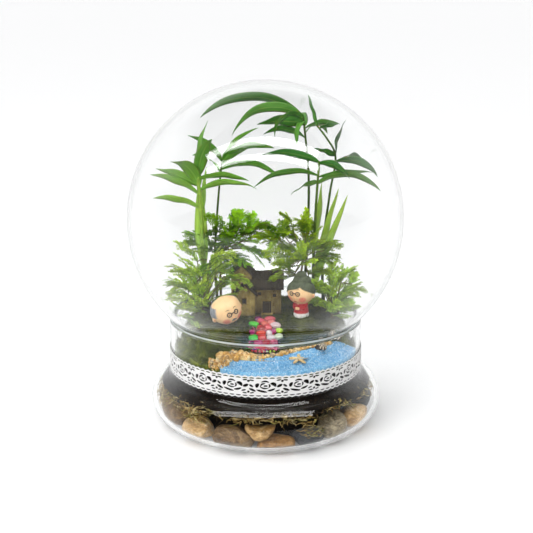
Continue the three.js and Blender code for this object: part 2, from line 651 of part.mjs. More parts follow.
function figureHead(extras) {
  const ears = [-1, 1].map((side) => ball(side * (HEAD.halfX - 0.2), 0.2, -2.4, 1.5, 1.1, 1.8, 5, 4));
  const nose = ball(0, -HEAD.halfY, -3.2, 1, 0.9, 0.8, 5, 3);
  const skull = ball(0, 0, 0, HEAD.halfX, HEAD.halfY, HEAD.halfZ, 12, 8);
  return joined([skull, ...ears, nose, wireGlasses(), ...extras]);
}
// The head leans to one side, then nods, and then the whole figurine turns.
function figurine({ x, y, z }, head, lean, nod, turn) {
  const tilted = head.rotate([0, lean, 0]).rotate([nod, 0, 0]).translate([0, -0.5, HEAD_Z]);
  return robedBody(0).add(tilted).simplify(SLIVER).rotate([0, 0, turn]).translate([x, y, z + CLEARANCE]);
}
const sideHair = [-1, 1].map((side) => ball(side * 5.2, 3.6, -0.6, 4.6, 5.2, 4.2, 6, 4));
add("old_man_figurine", figurine(MAN, figureHead(sideHair), -20, 0, 30), COLOURS.skin);
const hairCap = ball(0, 1.5, 2.6, HEAD.halfX + 0.4, HEAD.halfY - 0.2, HEAD.halfZ - 1, 10, 6);
const hairBun = ball(0, 1.2, 9.2, 4.4, 4.4, 3.7, 7, 5);
add("old_woman_figurine", figurine(WOMAN, figureHead([hairCap, hairBun]), -3, 0, -25), COLOURS.redCoat);

const LEAF_THICKNESS = 1.1;

// Plants. A path is a list of points with the direction across the leaf and the direction out of its face.
const UP = new THREE.Vector3(0, 0, 1);
function framed(points, roll = 0) {
  return points.map((p, i) => {
    const before = points[Math.max(0, i - 1)];
    const after = points[Math.min(points.length - 1, i + 1)];
    const tangent = after.clone().sub(before).normalize();
    const side = new THREE.Vector3().crossVectors(tangent, UP);
    if (side.length() < 0.05) side.set(1, 0, 0);
    side.normalize().applyAxisAngle(tangent, roll * DEG);
    const face = new THREE.Vector3().crossVectors(side, tangent);
    return { p, tangent, side, face };
  });
}

// An arc that starts at a heading in plan (0 is +X, 90 is +Y) and a rise above level, and turns down by a
// total droop along its length.
function arcPath(start, heading, rise, length, droop, steps) {
  const ahead = new THREE.Vector3(Math.cos(heading * DEG), Math.sin(heading * DEG), 0);
  const points = [start.clone()];
  for (let i = 0; i < steps; i++) {
    const pitch = (rise - (droop * (i + 0.5)) / steps) * DEG;
    const step = ahead.clone().multiplyScalar(Math.cos(pitch)).addScaledVector(UP, Math.sin(pitch));
    points.push(points[i].clone().addScaledVector(step, length / steps));
  }
  return points;
}

// A closed leaf: three-cornered sections of left edge, rib and right edge along the path, drawn to a point
// at the tip. Edge points may be pushed forward along the path, which slants the teeth of a cut leaf.
function blade(path, halfWidth, thickness, cup, forward = () => 0) {
  const position = [];
  const index = [];
  const last = path.length - 1;
  path.forEach(({ p, tangent, side, face }, i) => {
    if (i === last) {
      position.push(...p.toArray());
      return;
    }
    const w = halfWidth(i);
    const edge = (sign) => {
      const corner = p.clone().addScaledVector(tangent, forward(i)).addScaledVector(side, sign * w);
      return corner.addScaledVector(face, cup * w).toArray();
    };
    position.push(...edge(-1), ...p.clone().addScaledVector(face, thickness).toArray(), ...edge(1));
  });
  const [LEFT, RIB, RIGHT] = [0, 1, 2];
  for (let i = 0; i < last - 1; i++) {
    const [here, next] = [3 * i, 3 * i + 3];
    index.push(here + LEFT, here + RIB, next + RIB, here + LEFT, next + RIB, next + LEFT);
    index.push(here + RIGHT, next + RIB, here + RIB, here + RIGHT, next + RIGHT, next + RIB);
    index.push(here + LEFT, next + LEFT, here + RIGHT, here + RIGHT, next + LEFT, next + RIGHT);
  }
  const end = 3 * (last - 1);
  const tip = 3 * last;
  index.push(end + LEFT, end + RIB, tip, end + RIB, end + RIGHT, tip, end + RIGHT, end + LEFT, tip);
  index.push(LEFT, RIGHT, RIB);
  const geometry = new THREE.BufferGeometry();
  geometry.setAttribute("position", new THREE.BufferAttribute(new Float32Array(position), 3));
  return solid(geometry.setIndex(index));
}

// A round stem along a list of points, thinner towards its end.
function stem(points, startRadius, endRadius, sides = 5) {
  const position = [];
  const index = [];
  const path = framed(points);
  path.forEach(({ p, side, face }, i) => {
    const radius = startRadius + ((endRadius - startRadius) * i) / (path.length - 1);
    for (let k = 0; k < sides; k++) {
      const angle = (2 * Math.PI * k) / sides;
      const [across, out] = [radius * Math.cos(angle), radius * Math.sin(angle)];
      position.push(...p.clone().addScaledVector(side, across).addScaledVector(face, out).toArray());
    }
  });
  for (let i = 0; i < path.length - 1; i++) {
    for (let k = 0; k < sides; k++) {
      const [a, b] = [i * sides + k, i * sides + ((k + 1) % sides)];
      index.push(a, b + sides, b, a, a + sides, b + sides);
    }
  }
  const end = (path.length - 1) * sides;
  for (let k = 1; k < sides - 1; k++) {
    index.push(0, k, k + 1, end, end + k + 1, end + k);
  }
  const geometry = new THREE.BufferGeometry();
  geometry.setAttribute("position", new THREE.BufferAttribute(new Float32Array(position), 3));
  return solid(geometry.setIndex(index));
}

// The air inside the closed vessel, which no plant leaves
const AIR_RADIUS = GLOBE_BORE - 1;
const airArc = arc(0, GLOBE_CENTRE_Z, AIR_RADIUS, AIR_RADIUS, -90, 90, 16).slice(1, -1);
const air = turned([[0, 20], ...airArc, [0, GLOBE_CENTRE_Z + AIR_RADIUS]]).intersect(
  rod(0, 0, 20, 74, NECK_RADIUS - GLOBE_WALL - 0.6, 48).add(block(-95, 95, -95, 95, 73.9, 240)),
);

// A leaf that grows to one side is rolled so that its face looks up and to the front.
function frontRoll(heading, most) {
  return most * Math.cos(heading * DEG);
}

// A leaflet of a parlour palm: lance-shaped, narrow at its foot, widest before the middle.
function palmLeaflet(start, [, heading, rise, length, droop, width, roll = frontRoll(heading, 58)]) {
  const steps = 5;
  const path = framed(arcPath(start, heading, rise, length, droop, steps), roll);
  const shape = (i) => Math.max(0.7, (width / 2) * Math.sin(Math.PI * (0.06 + 0.88 * (i / steps)) ** 0.8) ** 0.8);
  return blade(path, shape, LEAF_THICKNESS, 0.12);
}

// A palm: one stem from its root along a bent line, with leaflets [height on the stem, heading, rise,
// length, droop, width].
function palm([x, y, radius], bends, leaflets) {
  const root = new THREE.Vector3(x, y, ROOT_Z);
  const collar = new THREE.Vector3(x, y, TERRACE_GROUND_Z + 4);
  const curve = new THREE.CatmullRomCurve3([root, collar, ...bends.map((bend) => new THREE.Vector3(...bend))]);
  const bent = curve.getSpacedPoints(24).filter((p, i) => p.z > collar.z + 3 && i % 4 === 0);
  const points = [root, collar, ...bent];
  const dense = curve.getSpacedPoints(120);
  const at = (z) => dense.reduce((best, p) => (Math.abs(p.z - z) < Math.abs(best.z - z) ? p : best));
  const leaves = leaflets.map((leaf) => palmLeaflet(at(leaf[0]), leaf));
  return largest(joined([stem(points, radius, radius * 0.6), ...leaves]).intersect(air).simplify(SLIVER));
}

const PALMS = {
  palm_left_near: [FEET.palmLeftNear, [[-42, 22, 90], [-43, 16, 135], [-45, 13, 168]], [
    [98, 200, 86, 62, -4, 9],
    [120, 60, 86, 48, 6, 7],
    [156, 232, 72, 34, 70, 9],
    [163, 305, 80, 34, 50, 9],
    [165, 55, 88, 36, 30, 8],
    [156, 188, 36, 31, 26, 7.5],
    [150, 180, 40, 36, 34, 6.5],
    [141, 186, 30, 33, 34, 6.5],
    [160, 340, 24, 36, 45, 6],
    [153, 335, 34, 44, 55, 5],
  ]],
  palm_left_far: [FEET.palmLeftFar, [[-35, 31, 100], [-32, 29, 145], [-29, 27, 172]], [
    [165, 358, 28, 42, 70, 7],
    [168, 8, 50, 30, 40, 6.5],
    [171, 0, 46, 38, 66, 7],
    [171, 340, 66, 36, 50, 3.4],
    [169, 60, 50, 34, 60, 6.5],
    [162, 130, 45, 34, 60, 7],
    [170, 175, 62, 30, 50, 6],
  ]],
  palm_right_tall: [FEET.palmRightTall, [[28.5, 30, 110], [29, 25, 160], [25, 20, 201]], [
    [199, 179, 48, 76, 92, 9.5],
    [200, 188, 44, 57, 112, 7.5],
    [200.5, 205, 34, 30, 125, 6],
    [196, 170, 14, 32, 34, 9],
    [197, 250, 26, 26, 115, 6.5],
    [195, 95, 40, 40, 90, 8],
    [190, 60, 34, 36, 80, 7],
    [193, 20, 30, 26, 50, 5],
    [186, 150, 36, 34, 70, 6],
  ]],
  palm_right_side: [FEET.palmRightSide, [[39, 24, 110], [43, 19, 150], [46, 16, 177], [40, 15, 188], [33, 14, 197]], [
    [196.5, 172, 72, 22, -4, 3.6],
    [194, 20, 18, 14, 20, 4.5],
    [175, 40, 84, 26, 30, 11],
    [172, 8, 18, 34, 76, 6.5],
    [176, 190, 26, 15, 16, 5],
    [170, 50, 34, 34, 70, 7],
  ]],
  palm_right_mid: [FEET.palmRightMid, [[32.5, 18, 100], [33.5, 10, 145], [35, 6, 174]], [
    [100, 20, 84, 58, 0, 9],
    [84, 350, 80, 72, 6, 7],
    [84, 345, 73, 70, 4, 6.4],
    [163, 2, 14, 36, 18, 4.5],
    [159, 352, 38, 46, 88, 6.5],
    [173, 182, 30, 42, 48, 6],
    [172, 335, 14, 24, 70, 7],
    [164, 187, 24, 46, 66, 5],
    [160, 215, 4, 22, 40, 6],
  ]],
};
for (const [name, [foot, bends, leaflets]] of Object.entries(PALMS)) {
  add(name, palm(foot, bends, leaflets), COLOURS.palm);
}

// A spray of spikemoss: one thin arched blade whose outline is cut to the rib into slanting branchlets.
const BRANCHLETS = 4;
function spray(start, heading, rise, length, droop, reach, roll) {
  const steps = 2 * BRANCHLETS + 1;
  const path = framed(arcPath(start, heading, rise, length, droop, steps), roll);
  const cut = (i) => i % 2 === 0;
  const taper = (i) => Math.sin(Math.PI * (0.16 + 0.76 * (i / steps)));
  const teeth = (i) => (cut(i) ? 0.8 : reach * taper(i));
  return blade(path, teeth, LEAF_THICKNESS, -0.08, (i) => (cut(i) ? 0 : (0.8 * length) / steps));
}

// A clump of spikemoss: stems [heading, rise, length, droop, pairs] arch out of one foot, or out of a
// crown higher up, each with a spray at its end and pairs of sprays below it.
function spikemoss([x, y, radius], crownPoint, stems, seed) {
  const random = seeded(seed);
  const root = new THREE.Vector3(x, y, ROOT_Z);
  const collar = new THREE.Vector3(x, y, TERRACE_GROUND_Z + 3);
  const crown = new THREE.Vector3(...crownPoint);
  const shapes = [stem([root, collar, crown, crown.clone().add(UP)], radius, 1)];
  for (const [heading, rise, length, droop, pairs] of stems) {
    const points = arcPath(crown, heading, rise, length, droop, 6);
    shapes.push(stem(points.filter((_, i) => i % 2 === 0), 0.9, 0.6, 4));
    shapes.push(spray(points[6], heading, rise - droop + 16, 19 + 3 * random(), 46, 7, frontRoll(heading, 40)));
    for (let k = 0; k < pairs; k++) {
      const i = 5 - 2 * k;
      const pitch = rise - (droop * i) / 6;
      for (const sign of [-1, 1]) {
        const aim = heading + sign * (50 + 20 * random());
        const lift = Math.min(50, pitch * 0.5 + 14);
        shapes.push(spray(points[i], aim, lift, 16 + 4 * random(), 50, 6.4, frontRoll(aim, 40)));
      }
    }
  }
  return largest(joined(shapes).intersect(air).simplify(SLIVER));
}

const SPIKEMOSS = {
  spikemoss_left: [FEET.spikemossLeft, [-42, 1, 76], [
    [172, 68, 22, 60, 1], [150, 78, 28, 36, 1], [60, 78, 12, 20, 0], [205, 46, 15, 30, 1], [246, 50, 10, 30, 0],
  ]],
  spikemoss_block: [FEET.spikemossBlock, [-31, 27, 108], [
    [350, 44, 22, 44, 2], [275, 66, 14, 50, 0], [30, 66, 20, 40, 1],
  ]],
  spikemoss_arch: [FEET.spikemossArch, [25, 3, 108], [
    [178, 56, 12, 50, 1], [334, 68, 11, 34, 1], [255, 66, 10, 30, 0],
  ]],
  spikemoss_right: [FEET.spikemossRight, [45, -2, 76], [
    [15, 72, 19, 40, 1], [72, 80, 17, 24, 1], [290, 50, 13, 30, 0],
  ]],
};
Object.entries(SPIKEMOSS).forEach(([name, [foot, crown, stems]], i) => {
  add(name, spikemoss(foot, crown, stems, 31 + i), COLOURS.spikemoss);
});

export default group;
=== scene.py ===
# A glass plant terrarium, laid out as a Blender add-on. A blown glass globe stands in the collar of a
# bulged glass base. Inside are river pebbles, dried moss, soil, a moss garden with a farmhouse, two
# figurines, a path of glass gems and a small beach, and above them spikemoss and young parlour palms. Lace
# is tied round the collar.
# Shapes are worked out in millimetres and made into meshes in metres. The front of the garden faces -Y.
import math

import bpy
import numpy as np
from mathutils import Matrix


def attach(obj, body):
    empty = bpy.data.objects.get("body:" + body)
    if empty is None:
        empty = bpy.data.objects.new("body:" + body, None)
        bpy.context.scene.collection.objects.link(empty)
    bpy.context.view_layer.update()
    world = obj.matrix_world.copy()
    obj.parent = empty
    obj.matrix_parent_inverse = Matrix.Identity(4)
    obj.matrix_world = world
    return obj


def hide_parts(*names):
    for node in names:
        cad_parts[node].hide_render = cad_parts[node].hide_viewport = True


bl_info = {
    "name": "Glass Plant Terrarium",
    "version": (1, 0, 0),
    "blender": (4, 5, 0),
    "location": "3D View > Sidebar > Terrarium",
    "description": "Builds a planted glass globe with its miniature garden",
    "category": "Add Mesh",
}

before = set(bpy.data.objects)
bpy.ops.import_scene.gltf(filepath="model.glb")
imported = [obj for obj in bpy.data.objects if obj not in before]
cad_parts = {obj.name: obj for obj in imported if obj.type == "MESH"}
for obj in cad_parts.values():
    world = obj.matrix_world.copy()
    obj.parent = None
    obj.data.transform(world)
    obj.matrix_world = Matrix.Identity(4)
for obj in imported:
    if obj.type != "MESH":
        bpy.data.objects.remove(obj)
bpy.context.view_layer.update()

MM = 0.001
TURN = 2 * math.pi

# The vessel
GLOBE_RADIUS = 90.0
GLOBE_CENTRE_Z = 137.0
GLOBE_WALL = 2.4
NECK_RADIUS = 59.4
NECK_END_Z = 60.0
BASE_WALL = 2.6
COLLAR_RADIUS = 63.7
COLLAR_FOOT_Z = 37.0
BULGE_RING_RADIUS = 58.8
BULGE_HALF_WIDTH = 18.0
BULGE_HALF_HEIGHT = 17.0
SHOULDER_ANGLE = 62.0
SEAT_RADIUS = GLOBE_RADIUS + 0.35
COLLAR_BORE = COLLAR_RADIUS - BASE_WALL
GLOBE_BORE = GLOBE_RADIUS - GLOBE_WALL
FILL_RADIUS = COLLAR_BORE - 0.3
GLASS_SIDES = 192
# How far each glass bends light; low where two walls meet, so that no dark lines show there
GLOBE_BENDING = 1.46
BASE_BENDING = 1.36
SEAT_BENDING = 1.08
NECK_BENDING = 1.06

# The ground and what stands on it
SOIL_TOP_Z = 48.0
WALL_GROUND_Z = 53.5
BEACH_GROUND_Z = 55.0
TERRACE_GROUND_Z = 69.5
MAN = (-25.5, -25.0, 62.4)
WOMAN = (23.8, -6.0, 70.4)
BEACH_EDGE = [(-27, -52), (-20, -47.5), (-4, -46), (10, -41.5), (27, -34), (39, -28.5), (47, -23), (58, -15)]
DRIED_MOSS_Z = 25.0
CUSHION_TOP_Z = 74.0
WOMAN_MOUND = 1.9
NECK_TOP_Z = 74.0
# Gap between the pebbles and the glass, and how far they lie below the heights in their table
PEBBLE_CLEARANCE = 0.35
PEBBLE_SINK = 1.1
HOUSE_MIDDLE = (-6, 10)
HOUSE_HALF_WIDTH = 17


# Numbers and arrays


def smoothstep(low, high, value):
    """0 below low, 1 above high, and 3t squared less 2t cubed between."""
    t = np.clip((np.asarray(value, float) - low) / (high - low), 0.0, 1.0)
    return t * t * (3 - 2 * t)


def unit(vectors):
    """Each vector divided by its length."""
    return vectors / np.maximum(np.linalg.norm(vectors, axis=-1, keepdims=True), 1e-9)


def joined(*parts):
    """The parts, spread to one shape, as the last axis of a new array."""
    return np.stack(np.broadcast_arrays(*parts), -1)


def around(angle, radius):
    """Plan place at an angle in degrees off the front, positive to the right, and a radius."""
    a = np.radians(angle)
    return joined(radius * np.sin(a), -radius * np.cos(a))


def at_height(plan, z):
    """Plan places with a height added to each."""
    return np.concatenate([plan, np.broadcast_to(z, plan.shape[:-1])[..., None]], -1)


def blended(a, b, share):
    """From a, where the share is none, to b, where it is one."""
    return a * (1 - share) + b * share


def ripples(points, size, seed, octaves=3):
    """Smooth noise from about -1 to 1: sines along random directions, each octave finer and half as tall."""
    random = np.random.default_rng(seed)
    points = np.asarray(points, float)
    total = np.zeros(points.shape[:-1])
    for octave in range(octaves):
        for direction in unit(random.normal(size=(4, 3))):
            wave = TURN * 1.9**octave / size
            total += 0.5**octave * np.sin(points @ direction * wave + TURN * random.random())
    return total / 3.2


def ground_z(x, y):
    """Height of the moss: a slope from the beach up to the terrace, low at the glass, with a level pad under
    each figurine."""
    radius = np.hypot(x, y)
    slope = BEACH_GROUND_Z + (TERRACE_GROUND_Z - BEACH_GROUND_Z) * smoothstep(-50, -2, y)
    z = WALL_GROUND_Z + (slope - WALL_GROUND_Z) * smoothstep(FILL_RADIUS, FILL_RADIUS - 12, radius)
    for px, py, pz in (MAN, WOMAN):
        near = smoothstep(12, 7, np.hypot(x - px, y - py))
        z = z + (pz - z) * near
    return z


def cushion(x, y):
    """Height that the moss cushion round the man adds: level to his chin near him, and a round shoulder that
    runs out further to the front and to the left. A low mound carries the woman."""
    mound = WOMAN_MOUND * smoothstep(11, 6.5, np.hypot(x - WOMAN[0], y - WOMAN[1]))
    x, y = x - MAN[0], y - MAN[1]
    reach = np.hypot(x / np.where(x < 0, 1.4, 1.0), y / np.where(y < 0, 1.45, 1.2))
    share = smoothstep(13.0, 8.4, reach) ** 0.7
    ground = ground_z(x + MAN[0], y + MAN[1])
    return mound + share * np.maximum(0, CUSHION_TOP_Z - ground)


def edge_curve(count):
    """Points along the beach's edge, evenly spaced on a curve through its corners."""
    return spaced(catmull(np.array([(x, y, 0.0) for x, y in BEACH_EDGE]), 16), count)[:, :2]


def beach_share(x, y):
    """How far a place lies on the beach's side of its edge, in millimetres, negative on the moss."""
    edge = edge_curve(160)
    spots = np.stack([np.ravel(x), np.ravel(y)], -1)
    gaps = spots[:, None, :] - edge[None, :-1]
    nearest = np.argmin((gaps**2).sum(-1), axis=1)
    along = unit(edge[nearest + 1] - edge[nearest])
    gap = spots - edge[nearest]
    return (gap[:, 0] * along[:, 1] - gap[:, 1] * along[:, 0]).reshape(np.shape(x))


def catmull(points, steps):
    """Centripetal Catmull-Rom curve through the points, with steps to each stretch."""
    points = np.asarray(points, float)
    ends = np.vstack([2 * points[0] - points[1], points, 2 * points[-1] - points[-2]])
    t = np.linspace(0, 1, steps, endpoint=False)[:, None]
    stretches = []
    for a, b, c, d in zip(ends[:-3], ends[1:-2], ends[2:-1], ends[3:]):
        ab, bc, cd = (max(np.linalg.norm(q - p) ** 0.5, 1e-6) for p, q in ((a, b), (b, c), (c, d)))
        leave = ((b - a) / ab - (c - a) / (ab + bc) + (c - b) / bc) * bc
        reach = ((c - b) / bc - (d - b) / (bc + cd) + (d - c) / cd) * bc
        cubic = 2 * b - 2 * c + leave + reach
        square = -3 * b + 3 * c - 2 * leave - reach
        stretches.append(b + leave * t + square * t**2 + cubic * t**3)
    return np.vstack([*stretches, points[-1:]])


def spaced(points, count):
    """The same line with count points at even distances."""
    length = np.concatenate([[0], np.cumsum(np.linalg.norm(np.diff(points, axis=0), axis=1))])
    at = np.linspace(0, length[-1], count)
    return np.stack([np.interp(at, length, points[:, k]) for k in range(points.shape[1])], -1)


def arc(centre_r, centre_z, half_r, half_z, start, end, steps):
    """Points (r, z) on an ellipse about a centre, between two angles in degrees."""
    a = np.radians(np.linspace(start, end, steps + 1))
    return np.stack([centre_r + half_r * np.cos(a), centre_z + half_z * np.sin(a)], -1)


def bezier(a, b, c, d, steps):
    """Points on the cubic that leaves a towards b and reaches d from c."""
    t = np.linspace(0, 1, steps + 1)[:, None]
    a, b, c, d = (np.asarray(p, float) for p in (a, b, c, d))
    return (1 - t) ** 3 * a + 3 * t * (1 - t) ** 2 * b + 3 * t**2 * (1 - t) * c + t**3 * d


def turned_about(points, axis, degrees):
    """Points turned about the X, Y or Z axis through the origin."""
    c, s = math.cos(math.radians(degrees)), math.sin(math.radians(degrees))
    i, j = {"X": (1, 2), "Y": (2, 0), "Z": (0, 1)}[axis]
    moved = points.copy()
    moved[..., i] = c * points[..., i] - s * points[..., j]
    moved[..., j] = s * points[..., i] + c * points[..., j]
    return moved


def inside_air(points, gap=1.6):
    """Moves points that would reach the glass back to just inside the globe and its neck."""
    centre = np.array([0, 0, GLOBE_CENTRE_Z])
    out = points - centre
    far = np.linalg.norm(out, axis=-1, keepdims=True)
    kept = centre + out * np.minimum(1, (GLOBE_BORE - gap) / np.maximum(far, 1e-6))
    wide = np.linalg.norm(kept[..., :2], axis=-1, keepdims=True)
    neck = NECK_RADIUS - GLOBE_WALL - 0.8
    narrow = np.where(kept[..., 2:3] < NECK_TOP_Z, np.minimum(1, neck / np.maximum(wide, 1e-6)), 1)
    kept[..., :2] *= narrow
    return kept


# Surfaces


class Surface:
    """Points in millimetres with quads and triangles. Each point has a colour and a UV, each face the number
    of its finish."""

    def __init__(self, points, quads=None, tris=None, colour=(1, 1, 1), uv=None, finish=0):
        self.points = np.asarray(points, float).reshape(-1, 3)
        self.quads = np.zeros((0, 4), int) if quads is None else np.asarray(quads, int).reshape(-1, 4)
        self.tris = np.zeros((0, 3), int) if tris is None else np.asarray(tris, int).reshape(-1, 3)
        count = len(self.points)
        self.colour = np.broadcast_to(np.asarray(colour, float), (count, 3)).copy()
        self.uv = np.zeros((count, 2)) if uv is None else np.asarray(uv, float).reshape(-1, 2)
        self.quad_finish = np.full(len(self.quads), finish)
        self.tri_finish = np.full(len(self.tris), finish)


def fuse(surfaces):
    """One surface that holds all of them."""
    starts = np.cumsum([0] + [len(s.points) for s in surfaces[:-1]])
    whole = Surface(
        np.concatenate([s.points for s in surfaces]),
        np.concatenate([s.quads + k for s, k in zip(surfaces, starts)]),
        np.concatenate([s.tris + k for s, k in zip(surfaces, starts)]),
        np.concatenate([s.colour for s in surfaces]),
        np.concatenate([s.uv for s in surfaces]),
    )
    whole.quad_finish = np.concatenate([s.quad_finish for s in surfaces])
    whole.tri_finish = np.concatenate([s.tri_finish for s in surfaces])
    return whole


def grid_quads(rows, columns, wrap=False):
    """Quads over points in row order. They face along column direction times row direction; wrap joins the
    last column to the first."""
    i, j = np.meshgrid(np.arange(rows - 1), np.arange(columns if wrap else columns - 1), indexing="ij")
    across = (j + 1) % columns
    corners = [i * columns + j, i * columns + across, (i + 1) * columns + across, (i + 1) * columns + j]
    return np.stack(corners, -1).reshape(-1, 4)


def ring_faces(rows, columns):
    """Quads and pole triangles of a body made of rings, whose two poles are its last two points."""
    j = np.arange(columns)
    after = (j + 1) % columns
    base = (rows - 1) * columns
    low = np.full(columns, rows * columns)
    caps = [joined(low, after, j), np.stack([base + j, base + after, low + 1], -1)]
    return grid_quads(rows, columns, wrap=True), np.concatenate(caps)


def ringed(rings, first=None, last=None, colour=(1, 1, 1), uv=None, finish=0):
    """A closed body: rings of points (rows, columns, 3) joined in order, closed by a pole at each end."""
    rows, columns = rings.shape[:2]
    first = rings[0].mean(0) if first is None else np.asarray(first, float)
    last = rings[-1].mean(0) if last is None else np.asarray(last, float)
    points = np.concatenate([rings.reshape(-1, 3), [first, last]])
    quads, tris = ring_faces(rows, columns)
    return Surface(points, quads, tris, colour, uv, finish)


def repeated(points, quads, tris, **look):
    """Copies of one small body: points (count, points of each, 3) and the faces of the first copy."""
    count, each = points.shape[:2]
    shift = (np.arange(count) * each)[:, None, None]
    return Surface(
        points,
        None if quads is None else np.asarray(quads)[None] + shift,
        None if tris is None else np.asarray(tris)[None] + shift,
        **look,
    )


def supported(profile, reach=0.3):
    """The same outline with a point close to both ends of every long stretch, so that smooth shading keeps
    straight walls straight."""
    profile = np.asarray(profile, float)
    gap = np.diff(profile, axis=0)
    length = np.linalg.norm(gap, axis=1, keepdims=True)
    step = np.where(length > 6.0, reach / np.maximum(length, 1e-9), 0.0)
    rows = np.stack([profile[:-1], profile[:-1] + gap * step, profile[1:] - gap * step], 1).reshape(-1, 2)
    keep = np.concatenate([[True], np.linalg.norm(np.diff(rows, axis=0), axis=1) > 1e-6])
    keep[-1] &= step[-1, 0] > 0
    return np.vstack([rows[keep], profile[-1:]])


def lathe(profile, sides=GLASS_SIDES, **look):
    """A solid of revolution: each inner profile point (r, z) goes round as (r sin a, -r cos a, z), and the
    first and last points are on the axis."""
    profile = np.asarray(profile, float)
    angle = np.arange(sides) * 360 / sides
    body = profile[1:-1]
    rings = at_height(around(angle[None, :], body[:, :1]), body[:, 1:2])
    return ringed(rings, (0, 0, profile[0, 1]), (0, 0, profile[-1, 1]), **look)


def slab(top, under, **look):
    """A closed sheet between two grids (rows, columns, 3), with its rim faced on all four sides."""
    rows, columns = top.shape[:2]
    points = np.concatenate([top.reshape(-1, 3), under.reshape(-1, 3)])
    face = grid_quads(rows, columns)
    count = rows * columns
    left, right = np.arange(rows) * columns, np.arange(rows) * columns + columns - 1
    near, far = np.arange(columns), count - columns + np.arange(columns)
    loop = np.concatenate([near, right[1:], far[::-1][1:], left[::-1][1:-1]])
    after = np.roll(loop, -1)
    rim = np.stack([loop, loop + count, after + count, after], -1)
    return Surface(points, np.concatenate([face, face[:, ::-1] + count, rim]), **look)


def ball(centre, halves, rows=16, columns=24, **look):
    """An ellipsoid of latitude rings about the Z axis."""
    tilt = np.linspace(-90, 90, rows + 2)
    profile = np.stack([np.cos(np.radians(tilt)), np.sin(np.radians(tilt))], -1)
    surface = lathe(profile, columns, **look)
    surface.points = surface.points * halves + centre
    return surface


def sphere(rows, columns, **look):
    """A ball of radius one about the origin, for shapes that are pushed out of a sphere."""
    return ball((0, 0, 0), (1, 1, 1), rows, columns, **look)


def framed(paths, up=(0, 0, 1)):
    """Tangent, side and face directions along paths (count, steps, 3): side is tangent times up, and face
    is side times tangent."""
    tangent = unit(np.gradient(paths, axis=1))
    side = unit(np.cross(tangent, np.broadcast_to(np.asarray(up, float), tangent.shape)) + 1e-7)
    return tangent, side, np.cross(side, tangent)


def rolled(side, face, degrees):
    """Side and face turned about their path, by an angle for each path and step."""
    a = np.radians(degrees)[..., None]
    return side * np.cos(a) + face * np.sin(a), face * np.cos(a) - side * np.sin(a)


def tubes(paths, radii, sides=6, up=(0.31, 0.95, 0.06), **look):
    """Round stems along paths (count, steps, 3): a ring of the step's radius about each point, drawn to a
    pole at both ends."""
    count, steps = paths.shape[:2]
    tangent, side, face = framed(paths, up)
    angle = np.arange(sides) * TURN / sides
    radii = np.broadcast_to(radii, (count, steps))[..., None, None]
    rings = paths[:, :, None] + radii * (
        side[:, :, None] * np.cos(angle)[:, None] - face[:, :, None] * np.sin(angle)[:, None]
    )
    ends = paths[:, [0, -1]] + tangent[:, [0, -1]] * radii[:, [0, -1], 0] * [[[-0.4], [0.4]]]
    points = np.concatenate([rings.reshape(count, -1, 3), ends], 1)
    quads, tris = ring_faces(steps, sides)
    return repeated(points, quads, tris, **look)


def leaves(paths, side, face, half_width, cup, thick, across=5, colour=(1, 1, 1)):
    """Leaves along paths (count, steps, 3). The section at each step runs from the left edge over the rib to
    the right edge and back underneath, its edges raised by cup times the width, and it is drawn to a point at
    both ends. UV holds the place across the leaf and along it, and face sets which way it looks."""
    count, steps = paths.shape[:2]
    t = np.concatenate([np.linspace(-1, 1, across), np.linspace(1, -1, across)[1:-1]])
    upper = np.concatenate([np.ones(across), -np.ones(across - 2)])
    swell = upper * (1 - np.abs(t)) ** 0.6
    width = np.asarray(half_width)[..., None, None]
    rings = (
        paths[:, :, None]
        + side[:, :, None] * t[:, None] * width
        + face[:, :, None] * (cup * np.abs(t)[:, None] * width + (thick * swell)[:, None])
    )
    ring = rings.reshape(count, -1, 3)
    points = np.concatenate([ring, paths[:, [0, -1]]], 1)
    along = np.broadcast_to(np.linspace(0, 1, steps)[None, :, None], (count, steps, len(t)))
    places = np.broadcast_to((0.5 + 0.5 * t)[None, None], along.shape)
    uv = np.stack([places, along], -1).reshape(count, -1, 2)
    tips = np.broadcast_to([[[0.5, 0.0], [0.5, 1.0]]], (count, 2, 2))
    quads, tris = ring_faces(steps, len(t))
    return repeated(points, quads, tris, colour=colour, uv=np.concatenate([uv, tips], 1))


def spikes(base, direction, length, width, colour=(1, 1, 1), finish=0, seed=1):
    """Thin three-sided spikes: a triangle about each base point, drawn to a tip along a direction."""
    random = np.random.default_rng(seed)
    count = len(base)
    side = unit(np.cross(direction, random.normal(size=(count, 3))))
    face = np.cross(direction, side)
    width = np.broadcast_to(width, (count,))[:, None]
    corners = [
        base + width * (side * math.cos(a) + face * math.sin(a)) for a in (0, TURN / 3, 2 * TURN / 3)
    ]
    tip = base + direction * np.broadcast_to(length, (count,))[:, None]
    points = np.stack([*corners, tip], 1)
    shades = np.repeat(np.broadcast_to(colour, (count, 3)), 4, axis=0)
    return repeated(points, None, [[0, 2, 1], [0, 1, 3], [1, 2, 3], [2, 0, 3]], colour=shades, finish=finish)


